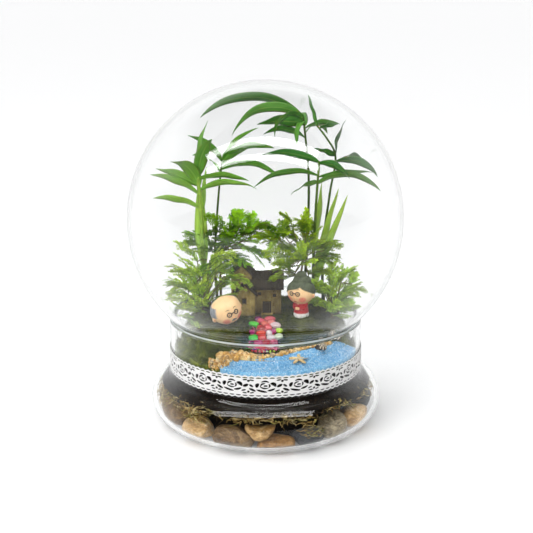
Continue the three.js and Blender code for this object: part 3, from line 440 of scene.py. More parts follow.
def stones(centres, sizes, seed, rows=7, columns=10, colour=(1, 1, 1), finish=0, lump=0.16):
    """Small rounded stones: one sphere grid stretched to each stone's three half sizes, dented by ripples of
    its own and turned at random."""
    random = np.random.default_rng(seed)
    count = len(centres)
    model = sphere(rows, columns)
    spots = model.points[None] + 9.0 * random.random((count, 1, 3))
    shape = model.points[None] * (1 + lump * ripples(spots, 2.6, seed, 2))[..., None]
    shape = shape * np.asarray(sizes)[:, None]
    turn, lean = random.random(count) * TURN, random.normal(size=count) * 0.35
    c, s = np.cos(turn)[:, None], np.sin(turn)[:, None]
    x, y = c * shape[..., 0] - s * shape[..., 1], s * shape[..., 0] + c * shape[..., 1]
    c, s = np.cos(lean)[:, None], np.sin(lean)[:, None]
    points = np.stack([x, c * y - s * shape[..., 2], s * y + c * shape[..., 2]], -1)
    points += np.asarray(centres)[:, None]
    shades = np.repeat(np.broadcast_to(colour, (count, 3)), len(model.points), axis=0)
    return repeated(points, model.quads, model.tris, colour=shades, finish=finish)


def arcs(start, heading, rise, length, droop, steps, drift=0.0):
    """Paths (count, steps + 1, 3) that leave start at a heading and a rise in degrees, and turn down by
    droop and sideways by drift on the way."""
    given = (heading, rise, length, droop, drift)
    heading, rise, length, droop, drift = (np.asarray(v, float)[:, None] if np.ndim(v) else v for v in given)
    t = (np.arange(steps) + 0.5)[None, :] / steps
    pitch = np.radians(rise - droop * t)
    turn = np.radians(heading + drift * t)
    step = joined(np.cos(pitch) * np.cos(turn), np.cos(pitch) * np.sin(turn), np.sin(pitch))
    length = np.broadcast_to(length, step.shape[:2])[..., None] if np.ndim(length) else length
    step = step * length / steps
    start = np.asarray(start, float).reshape(-1, 1, 3)
    count = max(len(start), len(step))
    start = np.broadcast_to(start, (count, 1, 3))
    step = np.broadcast_to(step, (count, *step.shape[1:]))
    return np.concatenate([start, start + np.cumsum(step, axis=1)], 1)


def added(name, data):
    """A new object with this data, linked to the scene."""
    made = bpy.data.objects.new(name, data)
    bpy.context.scene.collection.objects.link(made)
    return made


def make_piece(name, surface, materials, nodes, smooth=True):
    """Makes the surface a mesh object in metres, in the place of the solids it stands for."""
    mesh = bpy.data.meshes.new(name)
    quads, tris = surface.quads, surface.tris
    mesh.vertices.add(len(surface.points))
    mesh.vertices.foreach_set("co", (surface.points * MM).ravel())
    corners = np.concatenate([quads.ravel(), tris.ravel()])
    starts = np.concatenate([np.arange(len(quads)) * 4, 4 * len(quads) + np.arange(len(tris)) * 3])
    mesh.loops.add(len(corners))
    mesh.loops.foreach_set("vertex_index", corners)
    mesh.polygons.add(len(starts))
    mesh.polygons.foreach_set("loop_start", starts)
    mesh.polygons.foreach_set("material_index", np.concatenate([surface.quad_finish, surface.tri_finish]))
    mesh.polygons.foreach_set("use_smooth", np.full(len(starts), smooth))
    layer = mesh.uv_layers.new(name="UVMap")
    layer.data.foreach_set("uv", surface.uv[corners].ravel())
    tint = mesh.color_attributes.new(name="tint", type="FLOAT_COLOR", domain="POINT")
    alpha = np.ones((len(surface.points), 1))
    tint.data.foreach_set("color", np.concatenate([surface.colour, alpha], 1).ravel())
    mesh.update(calc_edges=True)
    mesh.validate()
    for material in materials:
        mesh.materials.append(material)
    piece = added(name, mesh)
    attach(piece, "root")
    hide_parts(*nodes)
    return piece


# Finishes


BLACK, WHITE = (0, 0, 0), (1, 1, 1)


def srgb(code):
    """Linear red, green and blue of a colour written as six hexadecimal digits."""
    values = [int(code[i : i + 2], 16) / 255 for i in (0, 2, 4)]
    return np.array([v / 12.92 if v <= 0.04045 else ((v + 0.055) / 1.055) ** 2.4 for v in values])


def palette(*codes):
    """One row of linear colour for each code."""
    return np.array([srgb(code) for code in codes])


def picked(random, rows, count):
    """So many rows of a table, drawn at random."""
    return rows[random.integers(0, len(rows), count)]


class Finish:
    """A material being built: its node tree, its Principled shader and short ways to add nodes."""

    def __init__(self, name, **sockets):
        self.material = bpy.data.materials.new(name)
        self.material.use_nodes = True
        self.tree = self.material.node_tree
        self.shader = self.tree.nodes["Principled BSDF"]
        for label, value in sockets.items():
            self.shader.inputs[label.replace("_", " ")].default_value = value

    def feed(self, socket, value):
        """Links a socket to another node's output, or else sets it to a value."""
        if hasattr(value, "links"):
            self.tree.links.new(value, socket)
        else:
            socket.default_value = value

    def node(self, kind, inputs=None, **settings):
        made = self.tree.nodes.new("ShaderNode" + kind)
        for label, value in settings.items():
            setattr(made, label, value)
        for label, value in (inputs or {}).items():
            self.feed(made.inputs[label], value)
        return made

    def place(self, scale=1.0, source="Object", stretch=(1, 1, 1)):
        """The pattern's coordinates, in millimetres divided by scale."""
        coordinates = self.node("TexCoord").outputs[source]
        size = 1.0 / (MM * scale) if source == "Object" else 1.0 / scale
        mapping = self.node("Mapping", {"Vector": coordinates})
        mapping.inputs["Scale"].default_value = tuple(size * s for s in stretch)
        return mapping.outputs["Vector"]

    def noise(self, scale, detail=4.0, rough=0.55, source="Object", stretch=(1, 1, 1), warp=0.0):
        place = self.place(scale, source, stretch)
        settings = {"Vector": place, "Scale": 1.0, "Detail": detail, "Roughness": rough, "Distortion": warp}
        return self.node("TexNoise", settings).outputs["Fac"]

    def cells(self, scale, feature="F1", output="Distance"):
        place = self.place(scale)
        return self.node("TexVoronoi", {"Vector": place, "Scale": 1.0}, feature=feature).outputs[output]

    def ramp(self, factor, stops):
        made = self.node("ValToRGB", {"Fac": factor})
        elements = made.color_ramp.elements
        for _ in range(len(stops) - 2):
            elements.new(0.5)
        for element, (position, colour) in zip(elements, stops):
            element.position = position
            element.color = (*colour, 1)
        return made.outputs["Color"]

    def tint(self):
        return self.node("Attribute", attribute_name="tint").outputs["Color"]

    def mix(self, factor, a, b, blend="MIX"):
        made = self.node("Mix", data_type="RGBA", blend_type=blend)
        self.feed(made.inputs[0], factor)
        for socket, value in ((made.inputs[6], a), (made.inputs[7], b)):
            self.feed(socket, value if hasattr(value, "links") else (*value, 1))
        return made.outputs[2]

    def times(self, first, *layers):
        """The product of colours, from the first on."""
        for layer in layers:
            first = self.mix(1.0, first, layer, "MULTIPLY")
        return first

    def scaled(self, factor, share):
        """A factor times a share, which may be another factor."""
        made = self.node("Math", operation="MULTIPLY")
        self.feed(made.inputs[0], factor)
        self.feed(made.inputs[1], share)
        return made.outputs[0]

    def colour(self, socket):
        self.tree.links.new(socket, self.shader.inputs["Base Color"])

    def roughness(self, factor, low, high):
        ranged = self.node("MapRange", {"Value": factor, "To Min": low, "To Max": high})
        self.tree.links.new(ranged.outputs["Result"], self.shader.inputs["Roughness"])

    def bump(self, height, depth, strength=1.0):
        """Bump whose height runs over depth millimetres."""
        made = self.node("Bump", {"Height": height, "Strength": strength, "Distance": depth * MM})
        self.tree.links.new(made.outputs["Normal"], self.shader.inputs["Normal"])


def clear_glass(name, tone, bending):
    """Blown glass: clear, open to the lamps' shadow rays so that light reaches inside, and on the globe with
    faint waves."""
    finish = Finish(name, Base_Color=(*tone, 1), Roughness=0.0, IOR=bending, Transmission_Weight=1.0)
    if bending == GLOBE_BENDING:
        finish.bump(finish.noise(46.0, 1.0), 0.05, 0.25)
    clear = finish.node("BsdfTransparent", {"Color": (*tone, 1)})
    shadow = finish.node("LightPath").outputs["Is Shadow Ray"]
    blend = finish.node("MixShader", {"Fac": shadow})
    finish.tree.links.new(finish.shader.outputs["BSDF"], blend.inputs[1])
    finish.tree.links.new(clear.outputs["BSDF"], blend.inputs[2])
    output = finish.tree.nodes["Material Output"]
    finish.tree.links.new(blend.outputs["Shader"], output.inputs["Surface"])
    return finish.material


def ground_glass():
    """The collar's rim, ground matt: pale, half clear, with the fine grain of the grinding."""
    finish = Finish("ground_glass", Roughness=0.5, IOR=1.3, Transmission_Weight=0.6, Specular_IOR_Level=0.4)
    grain = finish.noise(0.5, 3.0)
    finish.colour(finish.ramp(grain, [(0.3, srgb("d3dcdd")), (0.7, srgb("f4f8f8"))]))
    finish.bump(grain, 0.05, 0.4)
    return finish.material


def white_lace():
    """Bleached cotton thread: a fine weave on the band's own UV, slightly cool in its shaded threads."""
    finish = Finish("white_lace", Roughness=0.85, Sheen_Weight=0.35, Sheen_Roughness=0.5)
    place = finish.place(1.0, "UV", (2.4, 2.4, 1))
    look = {"Vector": place, "Scale": 1.0, "Distortion": 1.2, "Detail": 2.0}
    weave, cross = (finish.node("TexWave", look, bands_direction=way).outputs["Fac"] for way in "XY")
    thread = finish.scaled(weave, cross)
    finish.colour(finish.ramp(thread, [(0.0, srgb("d8d7d8")), (0.45, srgb("eeedea")), (1.0, srgb("fbfaf6"))]))
    finish.bump(thread, 0.08, 0.6)
    return finish.material


PEBBLE_TONES = {
    "pebble_cream_tan": ("7a5428", "ba9056", "f0d6a2", 0.30),
    "pebble_brown": ("38291a", "765a3a", "ac9064", 0.34),
    "pebble_amber": ("54371a", "a2733a", "dab070", 0.30),
    "pebble_slate": ("25262a", "3f4145", "6b6c6c", 0.42),
    "pebble_grey_tan": ("463c2e", "8f8166", "cabd9e", 0.30),
    "pebble_pale": ("8e6434", "d6ac70", "fbe8c0", 0.28),
    "pebble_dark": ("191b1c", "2f3233", "54564f", 0.42),
    "pebble_grey_brown": ("443626", "6f5a42", "94805f", 0.36),
}


def river_stone(name):
    """Water-worn stone: broad bands and clouds of three tones, thin pale veins, dark grains, and a smooth,
    slightly dusty surface."""
    dark, middle, light, rough = PEBBLE_TONES[name]
    finish = Finish(name, Roughness=rough, Specular_IOR_Level=0.3)
    clouds = finish.noise(8.0, 8.0, 0.68, stretch=(1, 1, 1.6), warp=1.1)
    base = finish.ramp(clouds, [(0.3, srgb(dark)), (0.52, srgb(middle)), (0.72, srgb(light))])
    streak = finish.noise(7.0, 5.0, 0.5, stretch=(0.4, 0.4, 2.6), warp=2.2)
    veins = finish.ramp(streak, [(0.47, BLACK), (0.5, WHITE), (0.53, BLACK)])
    veined = finish.mix(finish.scaled(veins, 0.45), base, srgb(light))
    grains = finish.ramp(finish.noise(0.9, 3.0, 0.7), [(0.36, WHITE), (0.46, BLACK)])
    finish.colour(finish.mix(finish.scaled(grains, 0.6), veined, srgb(dark)))
    finish.roughness(clouds, rough, rough + 0.22)
    height = finish.mix(0.4, finish.noise(2.8, 8.0, 0.66), grains)
    finish.bump(height, 0.7, 0.7)
    return finish.material


def mottled(name, grain, stops, relief, bump, rough=None, **sockets):
    """The piece's own tint times a ramp over a noise, given by its grain, with a bump over a second noise,
    given by its relief, or over the same one where relief is None. Roughness may run with the first."""
    finish = Finish(name, **sockets)
    pattern = finish.noise(**grain)
    finish.colour(finish.times(finish.tint(), finish.ramp(pattern, stops)))
    if rough:
        finish.roughness(pattern, *rough)
    finish.bump(finish.noise(*relief) if relief else pattern, *bump)
    return finish.material


def fibre(name, shadow, light):
    """Dry plant fibre: the strand's own tint, mottled along its length."""
    stops = [(0.3, srgb(shadow)), (0.7, srgb(light))]
    return mottled(name, {"scale": 2.2, "detail": 3.0}, stops, (0.6, 3.0), (0.15, 0.5),
                   Roughness=0.85, Specular_IOR_Level=0.12)


def dark_soil():
    """Moist potting soil: near-black crumbs with brown fibres and a few pale grains."""
    finish = Finish("dark_soil", Specular_IOR_Level=0.06)
    crumbs = finish.noise(1.6, 6.0, 0.7)
    base = finish.ramp(crumbs, [(0.3, srgb("060504")), (0.52, srgb("120e0b")), (0.74, srgb("3a2c1e"))])
    bark = finish.ramp(finish.cells(2.4), [(0.05, WHITE), (0.2, BLACK)])
    finish.colour(finish.mix(finish.scaled(bark, 0.5), base, srgb("4a3826")))
    finish.roughness(crumbs, 0.55, 0.95)
    finish.bump(finish.mix(0.5, crumbs, finish.cells(1.9)), 0.9, 0.9)
    return finish.material


def living_moss():
    """Sheet moss: patches from dark olive to yellow-green over the shoots' own tint, and painted shade where
    its fine relief is low, in the hollows.
    """
    finish = Finish("green_moss", Roughness=0.8, Specular_IOR_Level=0.08)
    patch = finish.noise(9.0, 6.0, 0.65)
    fine = finish.noise(0.8, 4.0, 0.7)
    tone = finish.ramp(patch, [(0.32, srgb("3a4416")), (0.5, srgb("65702c")), (0.7, srgb("98a04a"))])
    # Painted shade: darker where the fine relief that makes the bump is low
    relief_shade = finish.ramp(fine, [(0.3, (0.35, 0.35, 0.35)), (0.62, WHITE)])
    shaded = finish.times(tone, relief_shade)
    finish.colour(finish.times(finish.tint(), shaded))
    finish.bump(fine, 0.7, 0.8)
    return finish.material


def coarse_sand():
    """Dyed sand: each grain a slightly different blue, a few almost white, with small glints."""
    finish = Finish("blue_sand", Specular_IOR_Level=0.25)
    place = finish.place(0.7)
    grain = finish.node("TexVoronoi", {"Vector": place, "Scale": 1.0})
    shade = finish.ramp(
        grain.outputs["Color"],
        [(0.0, srgb("4b96cf")), (0.45, srgb("7dbde6")), (0.8, srgb("a8d6f2")), (1.0, srgb("ecf5fa"))],
    )
    finish.colour(finish.times(finish.tint(), shade))
    finish.roughness(grain.outputs["Distance"], 0.45, 0.9)
    finish.bump(grain.outputs["Distance"], 0.4, 0.8)
    return finish.material


def small_stone(name, mottle, rough=0.45):
    """Small stones, a starfish or a shell: the piece's own tint under a fine mottle."""
    stops = [(0.3, srgb(mottle)), (0.65, WHITE)]
    return mottled(name, {"scale": 1.1, "detail": 5.0, "rough": 0.65}, stops, None, (0.25, 0.6),
                   (rough, rough + 0.25), Specular_IOR_Level=0.45)


def glass_gem():
    """Coloured glass: the gem's own tint, lit from within, with cloudy swirls and a wet surface."""
    swirl = {"scale": 3.0, "detail": 3.0, "rough": 0.5, "warp": 1.4}
    stops = [(0.3, (0.72, 0.72, 0.72)), (0.62, WHITE)]
    return mottled("glass_gems", swirl, stops, (4.0, 2.0), (0.15, 0.4),
                   Roughness=0.07, IOR=1.5, Transmission_Weight=0.3, Coat_Weight=0.6)


def painted_wall():
    """Ochre paint on cast resin: brush marks down the wall and patches of grime, over the walls' tint, which
    is darker towards the foot and holds painted shade under the eaves.
    """
    finish = Finish("farmhouse_wall", Roughness=0.8, Specular_IOR_Level=0.12)
    wash = finish.noise(3.4, 5.0, 0.6, stretch=(1, 1, 0.35))
    base = finish.ramp(wash, [(0.3, srgb("6f5e30")), (0.5, srgb("9f8a4c")), (0.72, srgb("c2ae6c"))])
    grime = finish.ramp(finish.noise(5.0, 6.0, 0.7), [(0.34, (0.4, 0.34, 0.26)), (0.52, WHITE)])
    tinted = finish.times(finish.tint(), base)
    finish.colour(finish.mix(0.7, tinted, grime, "MULTIPLY"))
    finish.bump(finish.noise(0.9, 5.0, 0.65), 0.35, 0.7)
    return finish.material


def painted_thatch():
    """Dark thatch: straws that run down the slope on the roof's own UV, greyed along their tops."""
    finish = Finish("farmhouse_thatch", Roughness=0.85, Specular_IOR_Level=0.1)
    straw = finish.noise(1.0, 4.0, 0.6, "UV", (42, 2.4, 1))
    base = finish.ramp(straw, [(0.3, srgb("17130f")), (0.52, srgb("352d23")), (0.75, srgb("5f533f"))])
    moss = finish.ramp(finish.noise(6.0, 4.0), [(0.45, WHITE), (0.7, (0.72, 0.8, 0.62))])
    finish.colour(finish.times(base, moss))
    finish.bump(straw, 0.5, 0.9)
    return finish.material


def dark_opening():
    """Windows and doors painted almost black on rough boards."""
    finish = Finish("farmhouse_opening", Roughness=0.7, Specular_IOR_Level=0.12)
    board = finish.noise(0.8, 4.0, 0.6, stretch=(1, 1, 0.25))
    finish.colour(finish.ramp(board, [(0.35, srgb("0e0c0a")), (0.7, srgb("2b241c"))]))
    finish.bump(board, 0.25, 0.6)
    return finish.material


def painted_resin(name, gloss=0.42):
    """Hand-painted resin: the figure's own colours with faint brush mottling and pores."""
    finish = Finish(name, Roughness=gloss, Specular_IOR_Level=0.3, Coat_Weight=0.06, Coat_Roughness=0.3,
                    Subsurface_Weight=0.04, Subsurface_Scale=MM)
    brush = finish.ramp(finish.noise(2.6, 4.0), [(0.3, (0.9, 0.89, 0.88)), (0.65, WHITE)])
    finish.colour(finish.times(finish.tint(), brush))
    finish.roughness(finish.noise(1.6, 3.0), gloss - 0.06, gloss + 0.16)
    finish.bump(finish.noise(0.7, 3.0), 0.05, 0.5)
    return finish.material


def painted_hair(name):
    """Modelled hair: combed strands cut into the resin and picked out with a lighter wash."""
    comb = {"scale": 1.3, "detail": 3.0, "rough": 0.5, "stretch": (2.2, 0.5, 0.5), "warp": 0.4}
    stops = [(0.35, (0.55, 0.55, 0.55)), (0.65, (1.15, 1.15, 1.15))]
    return mottled(name, comb, stops, None, (0.3, 0.7), Roughness=0.6, Specular_IOR_Level=0.2)


def palm_green():
    """A parlour palm's leaf: fine veins along it, a paler rib and foot, and a soft waxy gloss."""
    finish = Finish("palm_leaf", Roughness=0.42, Specular_IOR_Level=0.25, Subsurface_Weight=0.12,
                    Subsurface_Scale=0.8 * MM)
    place = finish.place(1.0, "UV")
    across = finish.node("SeparateXYZ", {"Vector": place}).outputs["X"]
    rib = finish.ramp(across, [(0.44, BLACK), (0.5, WHITE), (0.56, BLACK)])
    veins = finish.noise(1.0, 3.0, 0.5, "UV", (16, 0.7, 1))
    shade = finish.ramp(veins, [(0.3, (0.7, 0.74, 0.68)), (0.65, (1.12, 1.1, 1.05))])
    blotch = finish.ramp(finish.noise(14.0, 4.0), [(0.3, (0.82, 0.86, 0.8)), (0.7, (1.08, 1.05, 1.0))])
    green = finish.times(finish.tint(), shade, blotch)
    finish.colour(finish.mix(finish.scaled(rib, 0.3), green, srgb("a8bf62")))
    finish.bump(veins, 0.12, 0.5)
    return finish.material


def palm_stem_green():
    """A palm's cane and leaf sheaths: green with fine streaks along them and paler rings at the nodes."""
    streak = {"scale": 1.4, "stretch": (3, 3, 0.15)}
    stops = [(0.3, (0.62, 0.66, 0.6)), (0.68, (1.1, 1.08, 1.0))]
    return mottled("palm_stem", streak, stops, None, (0.2, 0.5), Roughness=0.5, Specular_IOR_Level=0.2,
                   Subsurface_Weight=0.08, Subsurface_Scale=0.8 * MM)


def spikemoss_green():
    """Spikemoss: each scale leaf its own green, brighter towards the young tips, with a slight gloss."""
    finish = Finish("spikemoss_leaf", Roughness=0.55, Specular_IOR_Level=0.12, Subsurface_Weight=0.1,
                    Subsurface_Scale=0.6 * MM)
    mottle = finish.ramp(finish.noise(5.0, 4.0), [(0.3, (0.74, 0.8, 0.66)), (0.66, (1.12, 1.08, 1.0))])
    fine = finish.ramp(finish.noise(0.7, 2.0), [(0.3, (0.84, 0.86, 0.82)), (0.7, (1.06, 1.06, 1.02))])
    finish.colour(finish.times(finish.tint(), mottle, fine))
    finish.bump(finish.noise(0.5, 2.0), 0.08, 0.4)
    return finish.material


# The vessel


def seat_z(radius):
    """Height of the ground rim that the globe rests on."""
    return GLOBE_CENTRE_Z - math.sqrt(SEAT_RADIUS**2 - radius**2)


def make_glass_base(wall):
    """The base in section: a flat foot, half an ellipse round the bulge, a fillet into the straight collar, a
    rim cut to the globe's curve, and the same line back down one wall thickness inside."""
    half_w, half_h = BULGE_HALF_WIDTH, BULGE_HALF_HEIGHT
    outside = arc(BULGE_RING_RADIUS, half_h, half_w, half_h, -88, SHOULDER_ANGLE, 60)
    inside = arc(BULGE_RING_RADIUS, half_h, half_w - wall, half_h - wall, -90, SHOULDER_ANGLE, 56)
    turn = math.radians(SHOULDER_ANGLE)
    lean = np.array([-half_w * math.sin(turn), half_h * math.cos(turn)])
    lean /= np.linalg.norm(lean)
    wide, foot, bore, reach = COLLAR_RADIUS, COLLAR_FOOT_Z, COLLAR_RADIUS - wall, 2.4
    low = foot - 1
    outer_fillet = bezier(outside[-1], outside[-1] + reach * lean, (wide, foot - reach), (wide, foot), 8)
    inner_fillet = bezier(inside[-1], inside[-1] + reach * lean, (bore, low - reach), (bore, low), 8)
    rim_z, seat_low = seat_z(wide), seat_z(bore)
    rim = bezier((wide, rim_z - 1.4), (wide, rim_z - 0.4), (wide - 0.2, rim_z - 0.35),
                 (wide - 0.8, seat_z(wide - 0.8)), 6)
    seat = bezier((bore + 0.7, seat_z(bore + 0.7)), (bore + 0.2, seat_z(bore + 0.2)), (bore, seat_low - 0.2),
                  (bore, seat_low - 0.9), 5)
    profile = np.vstack([
        [(0, 0), (30, 0), (BULGE_RING_RADIUS - 2.5, 0)], outside, outer_fillet[1:], rim, seat,
        inner_fillet[::-1], inside[::-1][1:], [(30, wall), (0, wall)],
    ])
    base = lathe(supported(profile))
    centres = base.points[base.quads].mean(1)
    radius = np.hypot(centres[:, 0], centres[:, 1])
    top = centres[:, 2] > seat[:, 1].min() - 0.2
    ground, seated = top & (radius > COLLAR_RADIUS - 0.9), top & (radius > bore + 0.02)
    base.quad_finish = np.where(ground, 1, np.where(seated, 2, 0))
    return base


def make_globe(wall):
    """The globe in section: a circle from the pole down to the neck, a short straight neck with a rounded
    lip, and the same circle back up one wall thickness inside."""
    leave = -46.5
    outside = arc(0, GLOBE_CENTRE_Z, GLOBE_RADIUS, GLOBE_RADIUS, 90, leave, 84)
    inside = arc(0, GLOBE_CENTRE_Z, GLOBE_RADIUS - wall, GLOBE_RADIUS - wall, leave - 1, 90, 84)
    neck_top = outside[-1, 1] - 4.2
    bore = NECK_RADIUS - wall
    bend = neck_top + 2
    outer = bezier(outside[-1], outside[-1] + (-1.2, -1.2), (NECK_RADIUS, bend), (NECK_RADIUS, neck_top), 8)
    inner = bezier((bore, neck_top), (bore, bend), inside[0] + (-1.3, -1.2), inside[0], 8)
    lip = arc(NECK_RADIUS - wall / 2, NECK_END_Z + 1.2, wall / 2, 1.2, 0, -180, 10)
    outside[0, 0] = inside[-1, 0] = 0
    profile = np.vstack([outside, outer[1:], lip, inner, inside[1:]])
    globe = lathe(supported(profile[::-1]))
    globe.quad_finish = (globe.points[globe.quads][..., 2].mean(1) < neck_top + 1.0).astype(int)
    return globe


LACE_MOTIFS = 19
LACE_LOW_Z = 37.4
LACE_HIGH_Z = 52.2
LACE_RADIUS = COLLAR_RADIUS + 0.36
LACE_SCALLOPS = 5
# Holes of one rose: centre across and up, half length and half width in mm, slant in degrees, and bend
ROSE_HOLES = [
    (0.1, 0.0, 1.0, 0.5, 0, 0), (-1.9, 1.35, 1.4, 0.45, 30, -0.2), (2.75, 0.0, 1.1, 0.42, 88, 0.3),
    (-0.9, -1.7, 2.0, 0.42, -12, 0.1), (-0.1, 3.3, 1.9, 0.5, -2, -0.12), (-5.2, 0.4, 1.5, 1.0, 66, -0.12),
    (5.3, 1.3, 1.9, 1.1, -34, -0.14), (-2.2, -3.8, 2.8, 0.62, -14, 0.02), (3.8, -2.9, 2.0, 0.6, 18, 0.04),
    (-8.1, -2.9, 1.9, 0.7, -24, 0), (-8.8, 0.0, 1.2, 0.62, -35, 0), (8.9, 0.1, 1.6, 0.85, 28, 0),
    (7.6, -3.4, 1.1, 0.4, 18, 0), (10.6, 3.3, 0.68, 0.68, 0, 0), (10.6, -4.3, 0.68, 0.68, 0, 0),
    (8.5, 4.1, 1.1, 0.4, 10, 0), (-8.5, 3.9, 1.1, 0.4, -10, 0), (8.3, -5.2, 1.0, 0.36, -5, 0),
    (-8.4, -5.0, 1.0, 0.36, 12, 0),
]


def lace_thread(along, up):
    """Above zero where there is thread: outside every hole's ellipse and inside the scalloped edges."""
    pitch = TURN * LACE_RADIUS / LACE_MOTIFS
    height = LACE_HIGH_Z - LACE_LOW_Z
    x = (along + 0.5 * pitch) % pitch - 0.5 * pitch
    y = (up - 0.55 * height) / 0.93
    solid = np.full(np.shape(x), 9.0)
    for cx, cy, long, wide, slant, bend in ROSE_HOLES:
        for shift in (0, -pitch):
            c, s = math.cos(math.radians(slant)), math.sin(math.radians(slant))
            u, v = c * (x - cx - shift) + s * (y - cy), c * (y - cy) - s * (x - cx - shift)
            v = v - bend * u * u
            solid = np.minimum(solid, (np.hypot(u / long, v / wide) - 1) * wide - 0.17)
    step = pitch / LACE_SCALLOPS
    beat = (along + 0.5 * step) % step - 0.5 * step
    for row in (1.5, height - 1.5):
        bow = 0.06 * beat**2 * (1 if row < height / 2 else -1)
        solid = np.minimum(solid, (np.hypot(beat / 1.35, (up - row - bow) / 0.36) - 1) * 0.36 - 0.1)
    edge = 0.75 * np.abs(beat) / (step / 2)
    return np.minimum(solid, np.minimum(up - edge, height - edge - up))


def make_lace(cell):
    """The band as a fine grid round the collar. Cells between threads are left out, and the corners beside
    each hole are moved along the thread function's slope to its edge, so that the holes are smooth."""
    columns = int(round(TURN * LACE_RADIUS / cell))
    rows = int(round((LACE_HIGH_Z - LACE_LOW_Z) / cell))
    girth, height = TURN * LACE_RADIUS, LACE_HIGH_Z - LACE_LOW_Z
    along, up = np.meshgrid(np.arange(columns) * girth / columns, np.linspace(0, height, rows + 1))
    quads = grid_quads(rows + 1, columns, wrap=True)
    centre_a = (along + 0.5 * girth / columns)[:-1].ravel()
    centre_u = (up[:-1] + 0.5 * height / rows).ravel()
    kept = lace_thread(centre_a, centre_u) > 0
    used = np.bincount(quads[kept].ravel(), minlength=along.size)
    border = (used > 0) & (used < 4)
    a, u = along.ravel(), up.ravel()
    h = 0.03
    value = lace_thread(a, u)
    slope = np.stack([lace_thread(a + h, u) - value, lace_thread(a, u + h) - value], -1) / h
    step = -value[:, None] * slope / np.maximum((slope**2).sum(-1, keepdims=True), 0.2)
    step = np.clip(step, -0.45 * cell, 0.45 * cell) * border[:, None]
    a, u = a + step[:, 0], u + step[:, 1]
    points = at_height(around(np.degrees(a / LACE_RADIUS), LACE_RADIUS), LACE_LOW_Z + u)
    number = np.cumsum(used > 0) - 1
    surface = Surface(points[used > 0], number[quads[kept]], uv=np.stack([a, u], -1)[used > 0])
    return surface, kept.mean()


# What fills the base


# Angle off the front, radius and height of the middle, half sizes along the ring, across it and up, finish
PEBBLES = [
    (-42.5, 63.6, 10.6, 9.8, 8.6, 7.1, "pebble_pale"), (-18.5, 63, 9.9, 13.6, 9, 7.0, "pebble_brown"),
    (-3.2, 62.6, 15.7, 8.6, 6.2, 4, "pebble_cream_tan"), (5.6, 63.6, 7.6, 11.6, 8.6, 4.7, "pebble_amber"),
    (24.6, 63.6, 9.4, 9.4, 8.6, 5.8, "pebble_slate"), (42.8, 62.6, 12.8, 9, 8.4, 9.2, "pebble_grey_tan"),
    (66.5, 63, 10.6, 11.6, 8.3, 7, "pebble_pale"), (93, 62.6, 14, 12.8, 9, 10.4, "pebble_dark"),
    (115.6, 62.6, 12.4, 11.2, 8.3, 8.8, "pebble_grey_brown"),
    (137, 62.6, 11.6, 11.2, 8.3, 8.2, "pebble_amber"),
    (158.8, 62.6, 12.8, 11.2, 8.3, 9.2, "pebble_grey_tan"),
    (180.6, 62.6, 11.8, 11.2, 8.3, 8.4, "pebble_brown"), (202.4, 62.6, 12.6, 11.2, 8.3, 9, "pebble_pale"),
    (224.2, 62.6, 11.6, 11.2, 8.3, 8.2, "pebble_slate"),
    (246, 62.6, 12.8, 11.2, 8.3, 9.2, "pebble_cream_tan"),
    (268.4, 62.8, 13.4, 11.4, 9, 9.8, "pebble_grey_brown"),
    (292.6, 62.6, 14.2, 12.4, 9, 10.6, "pebble_brown"),
]


def inside_bulge(points, gap):
    """Moves points that would reach the bulge's glass back along the line to its section's middle."""
    radius = np.maximum(np.hypot(points[..., 0], points[..., 1]), 1e-6)
    r, z = radius - BULGE_RING_RADIUS, points[..., 2] - BULGE_HALF_HEIGHT
    half_w = BULGE_HALF_WIDTH - BASE_WALL - gap
    half_h = BULGE_HALF_HEIGHT - BASE_WALL - gap
    over = np.maximum(1, np.hypot(np.maximum(r, 0) / half_w, z / half_h))
    new_r = BULGE_RING_RADIUS + np.where(r > 0, r / over, r)
    kept = points.copy()
    kept[..., :2] *= (new_r / radius)[..., None]
    kept[..., 2] = BULGE_HALF_HEIGHT + z / over
    return kept


def make_pebble(row, seed):
    """A river pebble: a sphere grid swollen towards its sides, ground flatter on a few sides, with broad
    dents, then stretched to its half sizes, turned to its place and kept inside the glass."""
    angle, radius, height, along, across, up, _ = row
    random = np.random.default_rng(seed)
    stone = sphere(46, 72)
    shape = np.sign(stone.points) * np.abs(stone.points) ** 0.84
    for normal in unit(random.normal(size=(7, 3))):
        beyond = np.maximum(0, shape @ normal - random.uniform(0.78, 0.98))
        shape = shape - normal * (0.75 * beyond)[:, None]
    rough = 0.075 * ripples(shape, 1.5, seed, 2) + 0.022 * ripples(shape, 0.45, seed + 1, 3)
    shape = shape * (1.04 + rough)[:, None] * (along, across, up)
    if height > 15:
        shape[:, 2] += 0.045 * shape[:, 0] ** 2 - 1.4
    shape = turned_about(shape, "Z", angle)
    stone.points = inside_bulge(shape + (*around(angle, radius), height - PEBBLE_SINK), PEBBLE_CLEARANCE)
    return stone


def wandering(starts, heading, steps, stride, seed, curl=0.7, sink=0.0):
    """Strands (count, steps, 3) that turn a random part of a circle at each step, as curled fibres do."""
    random = np.random.default_rng(seed)
    count = len(starts)
    turn = heading[:, None] + np.cumsum(random.normal(0, curl, (count, steps)), 1)
    lift = random.normal(0, 0.35, (count, steps)) - sink
    step = np.stack([np.cos(turn), np.sin(turn), lift], -1) * np.asarray(stride).reshape(-1, 1, 1)
    return starts[:, None] + np.cumsum(step, 1)


